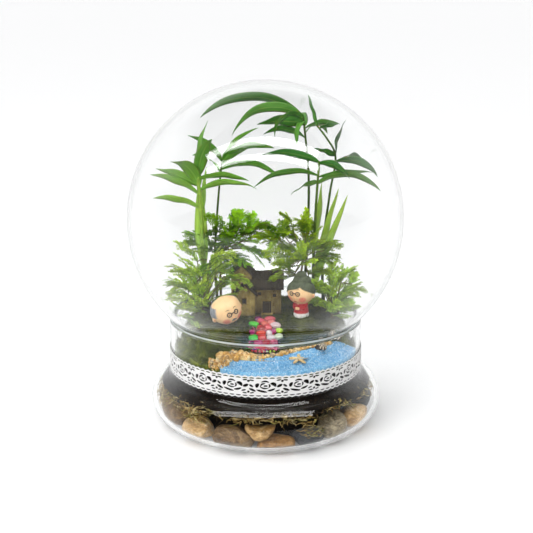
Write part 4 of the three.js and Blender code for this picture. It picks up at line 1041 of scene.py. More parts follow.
def make_dried_moss(strands):
    """A matted ring under the shoulder, with loose curled strands over it, a few of them hanging down
    between the pebbles."""
    random = np.random.default_rng(7)
    angle = np.arange(240) * 1.5
    low, high = 53.5, 69.0
    share, rise = np.transpose([
        (0.0, 1.6), (0.25, 2.0), (0.5, 1.9), (0.75, 1.7), (1.0, 1.0), (1.0, 0.0), (0.5, 0.1), (0.0, 0.2),
    ])
    plan = around(angle[:, None], low + share * (high - low + 0.6 * np.sin(np.radians(5 * angle)))[:, None])
    rings = at_height(plan, DRIED_MOSS_Z + rise)
    rings[..., 2] += 0.45 * ripples(rings, 6, 3) * (rise > 0.5)
    rows, columns = rings.shape[:2]
    quads = grid_quads(rows + 1, columns, wrap=True) % (rows * columns)
    mat = Surface(rings, quads, colour=srgb("1d1710"))
    place = random.uniform(0, 360, strands)
    clump = 0.5 + 0.5 * np.sin(np.radians(7 * place + 40)) * np.sin(np.radians(3 * place))
    radius = 57 + 11.5 * random.random(strands) ** 0.6
    starts = at_height(around(place, radius), 26.4 + 1.6 * random.random(strands))
    hanging = random.random(strands) < 0.12 + 0.14 * clump
    starts[hanging, 2] -= 1.0
    steps = 8
    paths = wandering(starts, random.uniform(0, TURN, strands), steps, random.uniform(0.6, 1.3, strands), 8)
    paths[..., 2] -= np.linspace(0, 1, steps) * np.where(hanging, random.uniform(2, 9, strands), 0)[:, None]
    shades = picked(random, palette("8a7244", "5c4a2a", "a8925a", "43351f", "6f6a38"), strands)
    taper = np.linspace(1, 0.45, steps) * random.uniform(0.14, 0.3, strands)[:, None]
    tube = tubes(inside_bulge(paths, 0.9), taper, 3)
    tube.colour = np.repeat(shades, steps * 3 + 2, axis=0)
    return fuse([mat, tube, *[dried_wisps(*row, 300 + i) for i, row in enumerate(WISPS)]])


# Tangles of dried moss against the glass: angle off the front, spread, lowest and highest z, and strands
WISPS = [
    (-40, 5, 20, 33, 110), (-31, 5, 25, 34, 40), (-8, 6, 23, 27, 30), (12, 7, 24, 29, 60),
    (24, 2, 12, 25, 40), (40, 5, 26, 35, 130), (49, 4, 28, 34, 70), (70, 8, 24, 33, 60),
    (100, 12, 20, 33, 110), (145, 14, 20, 33, 120), (190, 12, 22, 33, 110), (235, 14, 20, 33, 120),
    (280, 12, 20, 33, 110), (305, 8, 22, 33, 70),
]


def dried_wisps(angle, spread, low, high, count, seed):
    """Curled strands just inside the bulge's glass, gathered about one angle."""
    random = np.random.default_rng(seed)
    steps = 10
    height = random.uniform(low, high, count)
    half_w, half_h = BULGE_HALF_WIDTH - BASE_WALL, BULGE_HALF_HEIGHT - BASE_WALL
    swell = np.sqrt(np.clip(1 - ((height - BULGE_HALF_HEIGHT) / half_h) ** 2, 0.02, 1))
    reach = BULGE_RING_RADIUS + half_w * swell - random.uniform(0.7, 3.0, count)
    starts = at_height(around(angle + random.normal(0, spread, count), reach), height)
    stride = random.uniform(0.5, 1.2, count)
    paths = wandering(starts, random.uniform(0, TURN, count), steps, stride, seed + 1, 0.6, 0.05)
    taper = np.linspace(1, 0.4, steps) * random.uniform(0.15, 0.34, count)[:, None]
    tube = tubes(inside_bulge(paths, 0.7), taper, 4)
    shades = picked(random, palette("d8c184", "b89a5a", "e4d49c", "8f7440", "b7b060", "c9a866"), count)
    tube.colour = np.repeat(shades, steps * 4 + 2, axis=0)
    return tube


def make_soil(crumbs):
    """The soil's outline turned about the axis and dented inwards, with loose crumbs on its shoulder."""
    under, low, core, half_width = DRIED_MOSS_Z + 2.7, BASE_WALL + 0.3, 51.2, 15.0
    outline = spaced(np.vstack([
        [(0, low), (core, low), (core, 22.6), (core + 2, under), (core + 17, under)],
        arc(BULGE_RING_RADIUS, BULGE_HALF_HEIGHT, half_width, 14.0, 46, SHOULDER_ANGLE, 8),
        [(62.0, COLLAR_FOOT_Z - 4.6), (FILL_RADIUS, COLLAR_FOOT_Z - 1)],
        [(FILL_RADIUS, SOIL_TOP_Z), (0, SOIL_TOP_Z)],
    ]), 210)
    body = lathe(outline, 240)
    radius = np.maximum(np.hypot(body.points[:, 0], body.points[:, 1]), 1e-6)
    coarse, fine = ripples(body.points, 3.2, 5), ripples(body.points, 1.3, 6, 2)
    dent = (0.7 * np.maximum(0, coarse) + 0.25 * np.maximum(0, fine)) * smoothstep(20, 45, radius)
    body.points[:, :2] *= (1 - dent / np.maximum(radius, 1))[:, None]
    random = np.random.default_rng(21)
    angle, height = random.uniform(0, 360, crumbs), random.uniform(27.8, 36, crumbs)
    rise = (height - BULGE_HALF_HEIGHT) / (BULGE_HALF_HEIGHT - BASE_WALL)
    reach = BULGE_RING_RADIUS + half_width * np.sqrt(np.clip(1 - rise**2, 0.03, 1))
    spots = at_height(around(angle, reach - random.uniform(0.6, 2, crumbs)), height)
    sizes = random.uniform(0.4, 1.3, (crumbs, 1)) * random.uniform(0.6, 1.2, (crumbs, 3))
    loose = stones(spots, sizes, 22, 4, 6, lump=0.3)
    loose.points = inside_bulge(loose.points, 0.6)
    return fuse([body, loose])


# The garden


def moss_light(x, y):
    """How much paler the shoots are painted near the glass and at the left: painted light."""
    return (1 + 0.45 * smoothstep(44, 54, np.hypot(x, y)) + 0.45 * smoothstep(-32, -44, x))[:, None]


def make_moss(shoots):
    """The moss as a disc of rings whose height is the ground's with cushions and dents, lowered under the
    beach, closed down to the soil, and thickly set with shoots."""
    radii = np.concatenate([np.linspace(0.8, 58, 92), np.linspace(58.6, FILL_RADIUS, 5)])
    angle = np.arange(288) * 1.25
    plan = around(angle[None, :], radii[:, None])
    x, y = plan[..., 0], plan[..., 1]
    flat = joined(x, y, 0)
    lumps = 0.9 * ripples(flat, 15, 31) + 0.45 * ripples(flat, 5, 32) + 0.22 * ripples(flat, 1.7, 33, 2)
    pads = sum(smoothstep(10, 7, np.hypot(x - px, y - py)) for px, py, _ in (MAN, WOMAN))
    from_x, from_y = np.abs(x - HOUSE_MIDDLE[0]), np.abs(y - HOUSE_MIDDLE[1])
    house = smoothstep(4, 0, np.hypot(np.maximum(from_x - HOUSE_HALF_WIDTH, 0), np.maximum(from_y - 10, 0)))
    quiet = 1 - np.clip(pads + house, 0, 1)
    beach = smoothstep(-1.2, 1.6, beach_share(x, y))
    z = ground_z(x, y) + cushion(x, y) + lumps * quiet * (1 - beach) - 2.6 * beach - 0.35
    top = at_height(plan, z)[::-1]
    skirt = top[:1].copy()
    skirt[..., 2] = SOIL_TOP_Z + 0.3
    rings = np.concatenate([skirt, top])
    # Painted light: the carpet's tint is paler near the glass and at the left
    pale = 1 + 0.9 * smoothstep(44, 54, np.hypot(rings[..., 0], rings[..., 1]))
    pale = pale + 0.9 * smoothstep(-32, -44, rings[..., 0])
    dark = srgb("9a9c80")
    carpet = ringed(rings, (0, 0, SOIL_TOP_Z + 0.3), (0, 0, float(z[0].mean())))
    shades = dark * pale.reshape(-1, 1)
    carpet.colour = np.vstack([shades, np.tile(dark, (len(carpet.points) - len(shades), 1))])
    random = np.random.default_rng(41)
    r = (FILL_RADIUS - 1.2) * np.sqrt(random.random(4 * shoots))
    a = random.uniform(0, 360, 4 * shoots)
    spots = around(a, r)
    x, y = spots[:, 0], spots[:, 1]
    bare = (np.abs(x - HOUSE_MIDDLE[0]) < HOUSE_HALF_WIDTH) & (np.abs(y - HOUSE_MIDDLE[1]) < 9)
    bare |= np.hypot(x - WOMAN[0], y - WOMAN[1]) < 5.0
    bank = 8.0 * smoothstep(-6, -22, x)
    kept = np.flatnonzero((beach_share(x, y) < 0.4 - bank) & ~bare)[:shoots]
    x, y = x[kept], y[kept]
    flat = joined(x, y, 0)
    z = ground_z(x, y) + cushion(x, y) + 0.9 * ripples(flat, 15, 31) + 0.45 * ripples(flat, 5, 32) - 0.7
    count = len(x)
    lean = random.normal(0, 0.75, (count, 2))
    direction = unit(np.concatenate([lean, np.full((count, 1), 0.9)], -1))
    length = random.uniform(0.9, 2.4, count) * (1 + 0.25 * ripples(flat, 9, 36))
    # Painted light on the shoots, as on the carpet
    light = moss_light(x, y)
    shades = picked(random, palette("8f9a58", "b8bf72", "ccd07e", "75804a", "dbd68c"), count) * light
    tufts = spikes(joined(x, y, z), direction, length, random.uniform(0.16, 0.32, count), shades, seed=42)
    few = slice(0, count // 2)
    lean = random.normal(0, 1.3, (count, 2))[few]
    direction = unit(np.concatenate([lean, np.full((len(lean), 1), 0.8)], -1))
    tall = random.uniform(2.2, 4.6, len(lean)) * np.where(ripples(flat[few], 11, 37) > -0.15, 1.0, 0.55)
    shades = picked(random, palette("c3c875", "e6e59a", "aab35c", "d9cf86"), len(lean)) * light[few]
    wide = random.uniform(0.1, 0.19, len(lean))
    strands = spikes(joined(x, y, z + 0.3)[few], direction, tall, wide, shades, seed=43)
    return fuse([carpet, tufts, strands, make_grass(random)])


def make_grass(random):
    """A few fine blades of grass that grow through the moss, mostly at the front left."""
    count = 46
    x = np.concatenate([random.uniform(-52, -30, 26), random.uniform(-20, 45, 20)])
    y = np.concatenate([random.uniform(-26, 2, 26), random.uniform(-30, -16, 20)])
    y = np.minimum(y, -16)
    start = joined(x, y, ground_z(x, y) - 1)
    paths = arcs(start, random.uniform(0, 360, count), random.uniform(62, 88, count),
                 random.uniform(4, 9, count), random.uniform(20, 90, count), 7)
    _, side, face = framed(paths, (0.2, 0.9, 0.3))
    width = 0.34 * (1 - np.linspace(0, 1, 8) ** 2)[None, :] + 0.04
    return leaves(inside_air(paths), side, face, width, 0.1, 0.05, 3, srgb("e8ec96"))


def beach_z(x, y):
    """Height of the sand: the ground's, with a low bank along the beach's edge."""
    return ground_z(x, y) + 2.2 * smoothstep(13, 1, beach_share(x, y)) * smoothstep(42, 20, x)


def make_sand(grains):
    """The beach as a sheet between its edge and the glass: each line of the grid runs from a point on the
    edge to a point on the wall. Ripples and loose grains lie on it."""
    lines, steps = 150, 50
    edge = edge_curve(lines)
    wall = around(np.linspace(-27.4, 75.4, lines), FILL_RADIUS - 0.05)
    t = np.linspace(-0.03, 1, steps)[None, :, None]
    plan = edge[:, None] + t * (wall - edge)[:, None]
    far = np.linalg.norm(plan, axis=-1, keepdims=True)
    plan = plan * np.minimum(1, FILL_RADIUS / far)
    x, y = plan[..., 0], plan[..., 1]
    flat = joined(x, y, 0)
    z = beach_z(x, y) - 0.25 + 0.35 * ripples(flat, 13, 51, 2) + 0.12 * ripples(flat, 2.2, 52, 2)
    z = z - 1.4 * smoothstep(0.8, -0.8, beach_share(x, y))
    top = at_height(plan, z)
    under = top.copy()
    under[..., 2] = SOIL_TOP_Z + 0.35
    sheet = slab(top, under)
    random = np.random.default_rng(53)
    i = random.random(grains) * (lines - 1)
    j = random.uniform(0.04, 0.985, grains) * (steps - 1)
    low_i, low_j = i.astype(int), j.astype(int)
    fi, fj = (i - low_i)[:, None], (j - low_j)[:, None]
    spots = (
        top[low_i, low_j] * (1 - fi) * (1 - fj) + top[low_i + 1, low_j] * fi * (1 - fj)
        + top[low_i, low_j + 1] * (1 - fi) * fj + top[low_i + 1, low_j + 1] * fi * fj
    )
    size = random.uniform(0.2, 0.42, grains)
    spots[:, 2] += 0.3 * size
    corners = unit(random.normal(size=(grains, 2, 3)))
    a = corners[:, 0]
    b = unit(np.cross(a, corners[:, 1]))
    c = np.cross(a, b)
    gem = np.stack([a, b, c, -a, -b, -c], 1) * size[:, None, None] * random.uniform(0.7, 1.3, (grains, 6, 1))
    faces = [(0, 1, 2), (1, 3, 2), (3, 4, 2), (4, 0, 2), (1, 0, 5), (3, 1, 5), (4, 3, 5), (0, 4, 5)]
    tone = random.random((grains, 1)) ** 2
    shades = blended(np.array([0.82, 0.93, 1.0]), np.array([1.7, 1.25, 1.08]), tone)
    loose = repeated(spots[:, None] + gem, None, faces, colour=np.repeat(shades, 6, axis=0))
    return fuse([sheet, loose])


# Stones piled against the collar's glass in front of the beach's left end
PILED_STONES = 95


def make_gravel(count):
    """Small rounded stones along the beach's edge: a bank of them up the moss at the left end, thinning to a
    single row at the right, and more piled against the glass."""
    random = np.random.default_rng(61)
    share = 0.03 + 0.97 * random.random(count) ** 1.7
    edge = edge_curve(400)
    k = (share * 0.78 * 399).astype(int) + 2
    heap = smoothstep(0.42, 0.06, share)
    along = unit(edge[k + 1] - edge[k])
    across = np.stack([-along[:, 1], along[:, 0]], -1)
    offset = -1.1 + (2.6 + 6.6 * heap) * random.random(count)
    plan = edge[k] + across * offset[:, None]
    size = random.uniform(0.75, 1.35, count) * (0.95 + 0.5 * heap)
    far = np.linalg.norm(plan, axis=1)
    plan *= np.minimum(1, (FILL_RADIUS - 2.4) / far)[:, None]
    z = beach_z(plan[:, 0], plan[:, 1]) + 0.1 + 0.3 * size + 1.6 * heap * random.random(count) ** 2
    sizes = size[:, None] * random.uniform(0.75, 1.25, (count, 3))
    tones = palette("dcae5c", "f2d28e", "cf9f50", "fbe8b8", "b58c52", "dab87a", "a3957e", "eecd94")
    shades = picked(random, tones, count) * random.uniform(0.85, 1.15, (count, 1))
    bank = stones(at_height(plan, z), sizes, 62, 8, 12, shades)
    side = random.random(PILED_STONES)
    low, high = 50.6 + 7.0 * side**1.6, 58.6 + 1.2 * side
    height = low + (high - low) * random.random(PILED_STONES)
    piled = at_height(around(-35.5 + 13.5 * side, FILL_RADIUS - 0.62), height)
    sizes = random.uniform(0.75, 1.5, (PILED_STONES, 3))
    sizes[:, 1] = 0.6
    return fuse([bank, stones(piled, sizes, 63, 8, 12, picked(random, tones, PILED_STONES))])


# Place, radius at the arms' ends and between them, thickness, tilt about X and turn in degrees
STARFISH = (21.0, -46.2, 6.6, 2.0, 1.5, 11.0, 92.0)


def make_starfish():
    """Five arms: the outline's radius swings between reach and waist with the fifth harmonic of the angle,
    the height falls from a ridge along each arm, and rows of grains stand on it."""
    place_x, place_y, arm, waist, thick, tilt, turn = STARFISH
    columns, rows, under_z = 200, 26, -0.12
    angle = np.arange(columns) * 360 / columns
    wave = np.abs(np.cos(np.radians(2.5 * (angle - turn))))
    share = np.linspace(1, 0.03, rows)[:, None]
    reach = share * (waist + (arm - waist) * wave**3.2)[None, :]
    a = np.radians(angle)[None, :]
    ridge = 0.45 + 0.55 * wave[None, :] ** 2
    dome = thick * np.sqrt(np.clip(1 - share**2, 0, 1)) * (ridge * (1 - 0.45 * reach / arm))
    z = dome + 0.12 * np.maximum(0, np.sin(reach * 5.2) * np.cos(30 * a)) * (share < 0.93)
    top = joined(reach * np.cos(a), reach * np.sin(a), z)
    under = top[::-1].copy()
    under[..., 2] = under_z
    body = ringed(np.concatenate([under[:-1], top]), (0, 0, under_z), (0, 0, float(z[-1].mean())))
    body.colour = blended(srgb("d9b878"), srgb("f4e2b8"), body.points[:, 2:3] / thick)
    place = (place_x, place_y, float(beach_z(place_x, place_y)) + 1.2)
    body.points = turned_about(body.points, "X", tilt) + place
    return body


# Place, size, turn in degrees, and how far the shell is raised
SHELLS = [(35.6, -36.6, 4.2, 20, 0.4), (44.0, -24.6, 4.0, 200, -0.3), (36.0, -27.6, 2.4, 90, -0.7)]


def make_shell(x, y, size, turn, raised):
    """A snail shell: a round tube that winds 3.4 turns about its axis while its radius and its distance from
    the axis grow by the same share each turn, ribbed across, closed over its mouth by a dark pole and a dark
    brown cap, painted shade for the inside of the shell."""
    steps, columns = 150, 22
    s = np.linspace(0, 1, steps)[:, None]
    wind = 3.4 * TURN * s
    grow = np.exp(2.6 * (s - 1))
    a = np.linspace(0, TURN, columns, endpoint=False)[None, :]
    rib = 1 + 0.05 * np.sin(wind * 14)
    tube = 0.52 * grow * rib
    out = 0.5 * grow + tube * np.cos(a)
    px, py = out * np.cos(wind), out * np.sin(wind)
    pz = 1.25 * (1 - grow) - 0.35 + tube * np.sin(a) * 1.05
    rings = joined(px, py, pz)[:, ::-1]
    spiral = ringed(rings)
    band = np.repeat(smoothstep(-0.4, 0.4, np.sin(wind * 7 + 0.6)), columns, axis=1).ravel()
    # The pole that closes the mouth is dark: painted shade inside the opening
    band = np.concatenate([band, [0.5, 0.1]])[:, None]
    spiral.colour = blended(srgb("2e241c"), srgb("efe3cc"), band)
    # A dark brown cap over the mouth: painted shade inside the shell
    mouth = ball((0.5, 0, -0.35), (0.36, 0.2, 0.36), 8, 12, colour=srgb("2c2119"))
    whole = fuse([spiral, mouth])
    points = turned_about(turned_about(whole.points * size, "X", 24), "Z", turn)
    lift = float(beach_z(x, y))
    whole.points = points + (x, y, lift + 0.82 * size + raised)
    return whole


# The gems from the door down to the beach: x, y, half length, turn in degrees, and colour
GEMS = [
    (-4.7, -10.0, 2.7, 10, "7b3566"), (3.0, -9.6, 3.9, 24, "d8606c"), (-2.9, -12.6, 2.2, 60, "e0566e"),
    (-7.8, -15.2, 3.5, -20, "5fe04a"), (-0.3, -15.0, 2.7, 20, "f07668"), (3.6, -14.2, 2.4, -30, "f28c86"),
    (6.6, -16.2, 3.7, 12, "ecd0d4"), (-2.9, -18.8, 2.9, 0, "a81e28"), (1.8, -18.6, 2.3, 30, "e0505a"),
    (-8.7, -22.6, 2.4, 84, "c02a80"), (-2.8, -23.2, 3.3, 4, "ef5040"), (2.4, -23.4, 2.2, -10, "f0e4e8"),
    (5.4, -21.6, 2.4, 70, "b8307c"), (9.0, -21.6, 2.7, 80, "b6e03c"), (-7.9, -27.4, 3.1, 0, "46d838"),
    (-2.1, -27.6, 2.8, 8, "e04040"), (3.6, -27.2, 3.0, -6, "ecdfe2"), (8.6, -26.6, 2.6, 30, "dbe8cc"),
    (-4.6, -31.6, 3.0, 10, "c03070"), (0.8, -31.8, 2.9, -12, "b82840"), (5.6, -31.0, 2.5, 20, "d86080"),
    (-11.0, -34.2, 1.7, 40, "50c048"), (-6.8, -35.0, 2.6, 0, "4a48c0"), (-2.2, -35.6, 2.3, 40, "d05078"),
    (2.6, -35.4, 2.6, -20, "b03050"), (7.6, -34.6, 2.4, 10, "3a58c0"),
]
# The bed's half width at places down the path
GEM_BED = [(-8.0, 4.5), (-14.0, 8.5), (-21.0, 10.2), (-30.0, 9.8), (-38.0, 7.5)]


def make_gem_path(chips):
    """Glass nuggets, each a squashed ball with a squarer outline, heaped on a bed of small chips that
    follows the ground, over a dark maroon sheet that is painted shade in the gaps between them."""
    random = np.random.default_rng(71)
    parts = []
    place, half = np.array(GEM_BED).T
    y = np.linspace(place[0], place[-1], 56)
    half = np.interp(-y, -place, half)
    x = half[:, None] * np.linspace(-1, 1, 16)[None, :] - 0.4
    down = y[:, None]
    top = joined(x, down, ground_z(x, down) + 1.3 + 0.3 * ripples(joined(x, down, 0), 2.4, 72, 2))
    # Painted shade: a dark maroon sheet under the gems and chips, for the shade in the gaps
    parts.append(slab(top[::-1], top[::-1] - (0, 0, 1.6), colour=srgb("4a2234")))
    for row, (gx, gy, long, turn, code) in enumerate(GEMS):
        gem = sphere(18, 28, colour=srgb(code))
        shape = np.sign(gem.points) * np.abs(gem.points) ** random.uniform(0.68, 0.95)
        shape *= (long, random.uniform(2.1, 2.7), random.uniform(1.2, 1.8))
        shape[:, 2] *= 1 + 0.14 * ripples(shape, 5, 73 + row, 1)
        shape[:, 1] *= 1 + 0.1 * shape[:, 0] / long
        shape = turned_about(turned_about(shape, "X", random.uniform(4, 26)), "Y", random.uniform(-10, 10))
        shape = turned_about(shape, "Z", turn)
        lift = float(ground_z(gx, gy))
        gem.points = shape + (gx, gy + 0.6, lift + 2.5 + 0.5 * random.random())
        parts.append(gem)
    k = random.integers(0, len(y), chips)
    cx = half[k] * random.uniform(-1.02, 1.02, chips) - 0.4
    cy = y[k] + random.normal(0, 0.3, chips)
    spots = np.stack([cx, cy, ground_z(cx, cy) + 1.8], -1)
    shades = picked(random, palette(*[row[-1] for row in GEMS]), chips)
    parts.append(stones(spots, random.uniform(0.5, 1.1, (chips, 3)), 74, 5, 8, shades))
    return fuse(parts)


# The farmhouse


HOUSE_FLOOR_Z = TERRACE_GROUND_Z + 0.3
# Each block's two sides, its front and back, and the heights of its eaves and its ridge
TOWER = (-23.0, -9.0, 7.0, 20.0, 96.9, 103.8)
ANNEXE = (-20.5, -7.0, 0.4, 9.0, 85.5, 92.0)
BARN = (-9.0, 10.6, 5.2, 18.0, 90.0, 98.6)
# How much darker the barn's walls are painted: painted shade from its roof and the spikemoss over it
BARN_SHADE = 0.44
WALL, THATCH, OPENING = 0, 1, 2


def swapped(points):
    """Exchanges X and Y, for blocks whose ridge runs along X."""
    return points[..., [1, 0, 2]]


def gabled_walls(low, high, near, far, eave, ridge, seed, shade=1.0):
    """Walls with a gable at each end: the gable's outline carried from near to far, and shrunk towards its
    middle on the end walls, with the small unevenness of a cast. The tint is darker towards the foot, holds
    painted shade from just under the eaves upward, and is darkened all over by shade, a painted shade."""
    middle = (low + high) / 2
    floor = HOUSE_FLOOR_Z
    corners = [(low, floor), (high, floor), (high, eave), (middle, ridge), (low, eave), (low, floor)]
    outline = spaced(np.array(corners, float), 61)[:-1]
    heart = outline.mean(0)
    ends = [0.12, 0.3, 0.5, 0.7, 0.86, 0.985]
    shrink = np.array([*ends, *[1.0] * 12, *ends[::-1]])
    depth = np.array([near] * 6 + list(np.linspace(near + 0.2, far - 0.2, 12)) + [far] * 6)
    section = heart + (outline - heart)[None] * shrink[:, None, None]
    rings = joined(section[..., 0], depth[:, None], section[..., 1])
    bump = ripples(rings, 3.4, seed)[..., None] * 0.16
    rings = rings + bump * unit(rings - (middle, (near + far) / 2, (floor + eave) / 2))
    walls = ringed(rings[:, ::-1], finish=WALL)
    # Tint darker towards the foot, and painted shade from just under the eaves upward, under the roof's
    # overhang
    low_dark = smoothstep(floor - 1, floor + 5, walls.points[:, 2])
    eave_shade = 1 - 0.35 * smoothstep(eave - 4, eave + 1, walls.points[:, 2])
    walls.colour = (shade * (0.62 + 0.38 * low_dark) * eave_shade)[:, None] * np.ones(3)
    return walls


def thatched_roof(low, high, near, far, eave, ridge, over, seed):
    """Thatch: over the gable's slope, rounded at the ridge, thick at the eaves, grooved down the slope by
    straw, with a ragged edge."""
    middle, half = (low + high) / 2, (high - low) / 2 + over
    slope = (ridge - eave) / ((high - low) / 2)
    u = np.linspace(-1, 1, 57)[None, :]
    v = np.linspace(0, 1, 64)[:, None]
    x = middle + half * u
    y = near - over + (far - near + 2 * over) * v
    height = ridge + 0.35 - slope * half * np.sqrt(u**2 + 0.006) + 0.9
    grooves = ripples(joined(0.05 * x, y, 0), 1.1, seed, 3)
    tiers = 0.35 * ((np.abs(u) * 3.0) % 1.0)
    z = height + 0.28 * grooves + tiers + 0.3 * ripples(joined(x, y, 0), 7, seed + 1, 2)
    ragged = 0.35 * ripples(joined(0, y, 0), 1.7, seed + 2, 2) * smoothstep(0.9, 1, np.abs(u))
    frayed = 0.3 * ripples(joined(x, 0, 0), 1.6, seed + 3, 2) * smoothstep(0.93, 1, np.abs(2 * v - 1))
    top = joined(x + np.sign(u) * ragged, y + frayed, z)
    under = joined(x, y, ridge - 0.25 - slope * half * np.abs(u))
    roof = slab(top, under, finish=THATCH)
    roof.uv = np.tile(joined(v * (far - near) / 12, np.abs(u)).reshape(-1, 2), (2, 1))
    return roof


def eave_straw(roof_box, over, along_x, seed):
    """Straw ends that stick out under both eaves."""
    low, high, near, far, eave, ridge = roof_box
    random = np.random.default_rng(seed)
    count = 260
    side = np.where(random.random(count) < 0.5, -1, 1)
    middle, half = (low + high) / 2, (high - low) / 2 + over
    slope = (ridge - eave) / ((high - low) / 2)
    x = middle + side * (half - 0.2)
    y = random.uniform(near - over, far + over, count)
    z = ridge - slope * half + random.uniform(-0.1, 0.9, count)
    base = joined(x, y, z)
    direction = unit(np.stack([side * 0.8, random.normal(0, 0.12, count), np.full(count, -0.75)], -1))
    if along_x:
        base, direction = swapped(base), swapped(direction)
    return spikes(base, direction, random.uniform(0.5, 1.1, count), 0.16, finish=THATCH, seed=seed)


def board(x, y, z, colour=(1, 1, 1), finish=OPENING, round_by=0.18):
    """A small block with rounded edges: a sphere grid pushed out to a box, given by its ends on each axis."""
    block = sphere(10, 16, colour=colour, finish=finish)
    low, high = np.transpose([x, y, z])
    pushed = np.clip(block.points * 2.2, -1, 1)
    block.points = pushed * ((high - low) / 2 - round_by) + block.points * round_by + (low + high) / 2
    return block


# Each opening's middle x and z, its width and height, and the wall's front face, the door last
OPENINGS = [
    (-14.2, 80.6, 2.8, 3.8, ANNEXE[2]), (-3.9, 84.4, 2.6, 2.6, BARN[2]), (6.1, 83.2, 2.8, 2.8, BARN[2]),
    (1.0, HOUSE_FLOOR_Z + 4.9, 6.2, 9.2, BARN[2]),
]


def make_farmhouse():
    """Three walled blocks under thatch, with framed windows, a boarded door and a stone step."""
    parts = []
    for box, over, seed in ((TOWER, 1.6, 81), (ANNEXE, 1.4, 82)):
        parts += [gabled_walls(*box, seed), thatched_roof(*box, over, seed + 10)]
        parts.append(eave_straw(box, over, False, seed))
    low, high, near, far, eave, ridge = BARN
    turned_barn = (near, far, low, high, eave, ridge)
    for part in (gabled_walls(*turned_barn, 83, BARN_SHADE), thatched_roof(*turned_barn, 1.7, 93)):
        part.points = swapped(part.points)
        part.quads = part.quads[:, ::-1]
        part.tris = part.tris[:, ::-1]
        parts.append(part)
    parts.append(eave_straw(turned_barn, 1.7, True, 84))
    for x, z, wide, tall, wall in OPENINGS:
        across, up = (x - wide / 2, x + wide / 2), (z - tall / 2, z + tall / 2)
        parts.append(board(across, (wall - 0.3, wall + 0.5), up))
        for side in (-1, 1):
            edge, bar = x + side * (wide / 2 + 0.15), z + side * (tall / 2 + 0.1)
            jamb, lintel = (edge - 0.3, edge + 0.3), (across[0] - 0.5, across[1] + 0.5)
            thick, level = (wall - 0.6, wall + 0.4), (bar - 0.3, bar + 0.3)
            parts.append(board(jamb, (wall - 0.5, wall + 0.4), up, (0.55, 0.5, 0.42), WALL, 0.12))
            parts.append(board(lintel, thick, level, (0.5, 0.45, 0.36), WALL, 0.12))
    for gap in across[0] + wide * np.arange(1, 5) / 5:
        parts.append(board((gap - 0.1, gap + 0.1), (wall - 0.42, wall), up, (0.4, 0.33, 0.25), WALL, 0.05))
    step = (HOUSE_FLOOR_Z - 0.2, HOUSE_FLOOR_Z + 0.9)
    parts.append(board((x - 4, x + 4), (wall - 2.6, wall + 0.5), step, (0.75, 0.72, 0.66), WALL, 0.3))
    return fuse(parts)


# The figurines


SKIN, BLUSH = srgb("f3ca96"), srgb("de5f5c")
GREY_HAIR, DARK_HAIR = srgb("8a8f94"), srgb("4e563f")
WIRE = srgb("1a0b09")
HEAD_Z = 20.8
HEAD = np.array([9.9, 9.3, 9.5])
# The upper end of both robes' profiles
SHOULDERS = [(5.0, 6.5), (4.2, 10.5), (3.0, 12.6), (0, 13.2)]
RESIN, HAIR = 0, 1
# What the lines on a face take as up when their sides are found
LEVEL = (0, 1, 0.01)


def on_face(x, z, proud=0.0):
    """The place on the front of the head at x and z, raised by proud."""
    x, z = np.broadcast_arrays(np.asarray(x, float), np.asarray(z, float))
    depth = np.sqrt(np.clip(1 - (x / HEAD[0]) ** 2 - (z / HEAD[2]) ** 2, 0.05, 1))
    return np.stack([x, -HEAD[1] * depth - proud, z], -1)


def painted_head(hair, hair_colour, thick):
    """A round head, a little fuller at the cheeks and narrower at the crown: an ellipsoid raised by thick
    where hair(azimuth, height) is one, painted with hair, skin and two soft blushes on the cheeks. The skin
    carries painted shade, darker and warmer towards the chin."""
    head = sphere(88, 132)
    d = head.points
    azimuth = np.degrees(np.arctan2(d[:, 0], -d[:, 1]))
    mask = hair(azimuth, d[:, 2])
    blush = np.zeros(len(d))
    cheeks = np.zeros(len(d))
    for side in (-1, 1):
        cheek = unit(np.array([side * 0.5, -0.74, -0.46]))
        blush = np.maximum(blush, smoothstep(0.945, 0.99, d @ cheek))
        cheeks = np.maximum(cheeks, smoothstep(0.8, 1.0, d @ cheek))
    # Painted shade: the skin darkens, losing more blue than red, over the lower part of the head
    low = smoothstep(0.2, -0.9, d[:, 2])[:, None]
    skin = SKIN * (1 - 0.16 * low * (1.0, 1.3, 1.5))
    head.colour = blended(blended(skin, BLUSH, 0.7 * blush[:, None]), hair_colour, mask[:, None])
    narrow = 1 - 0.05 * smoothstep(0.3, 1.0, d[:, 2]) + 0.03 * cheeks
    head.points = d * HEAD * (narrow * (1 + thick * mask / 9))[:, None]
    centres = mask[head.quads].mean(1)
    head.quad_finish = np.where(centres > 0.5, HAIR, RESIN)
    return head


def ear(side):
    """An ear, with a darker, redder skin in its hollow: painted shade in the recess."""
    outer = ball((side * 9.6, 0.2, -2.4), (1.5, 1.2, 1.9), 10, 14, colour=SKIN)
    # Painted shade: the hollow is a darker, redder skin tone
    hollow = ball((side * 10.3, -0.55, -2.4), (0.62, 0.6, 1.0), 8, 10, colour=SKIN * (0.82, 0.62, 0.55))
    return [outer, hollow]


def face_line(x, z, proud, radius, colour):
    """A thin painted or wire line that lies on the face along places (x, z)."""
    line = catmull(on_face(x, z, proud), 6)[None]
    ends = np.atleast_1d(radius)
    radii = np.interp(np.linspace(0, 1, line.shape[1]), np.linspace(0, 1, len(ends)), ends)
    return tubes(line, radii[None], 7, LEVEL, colour=colour)


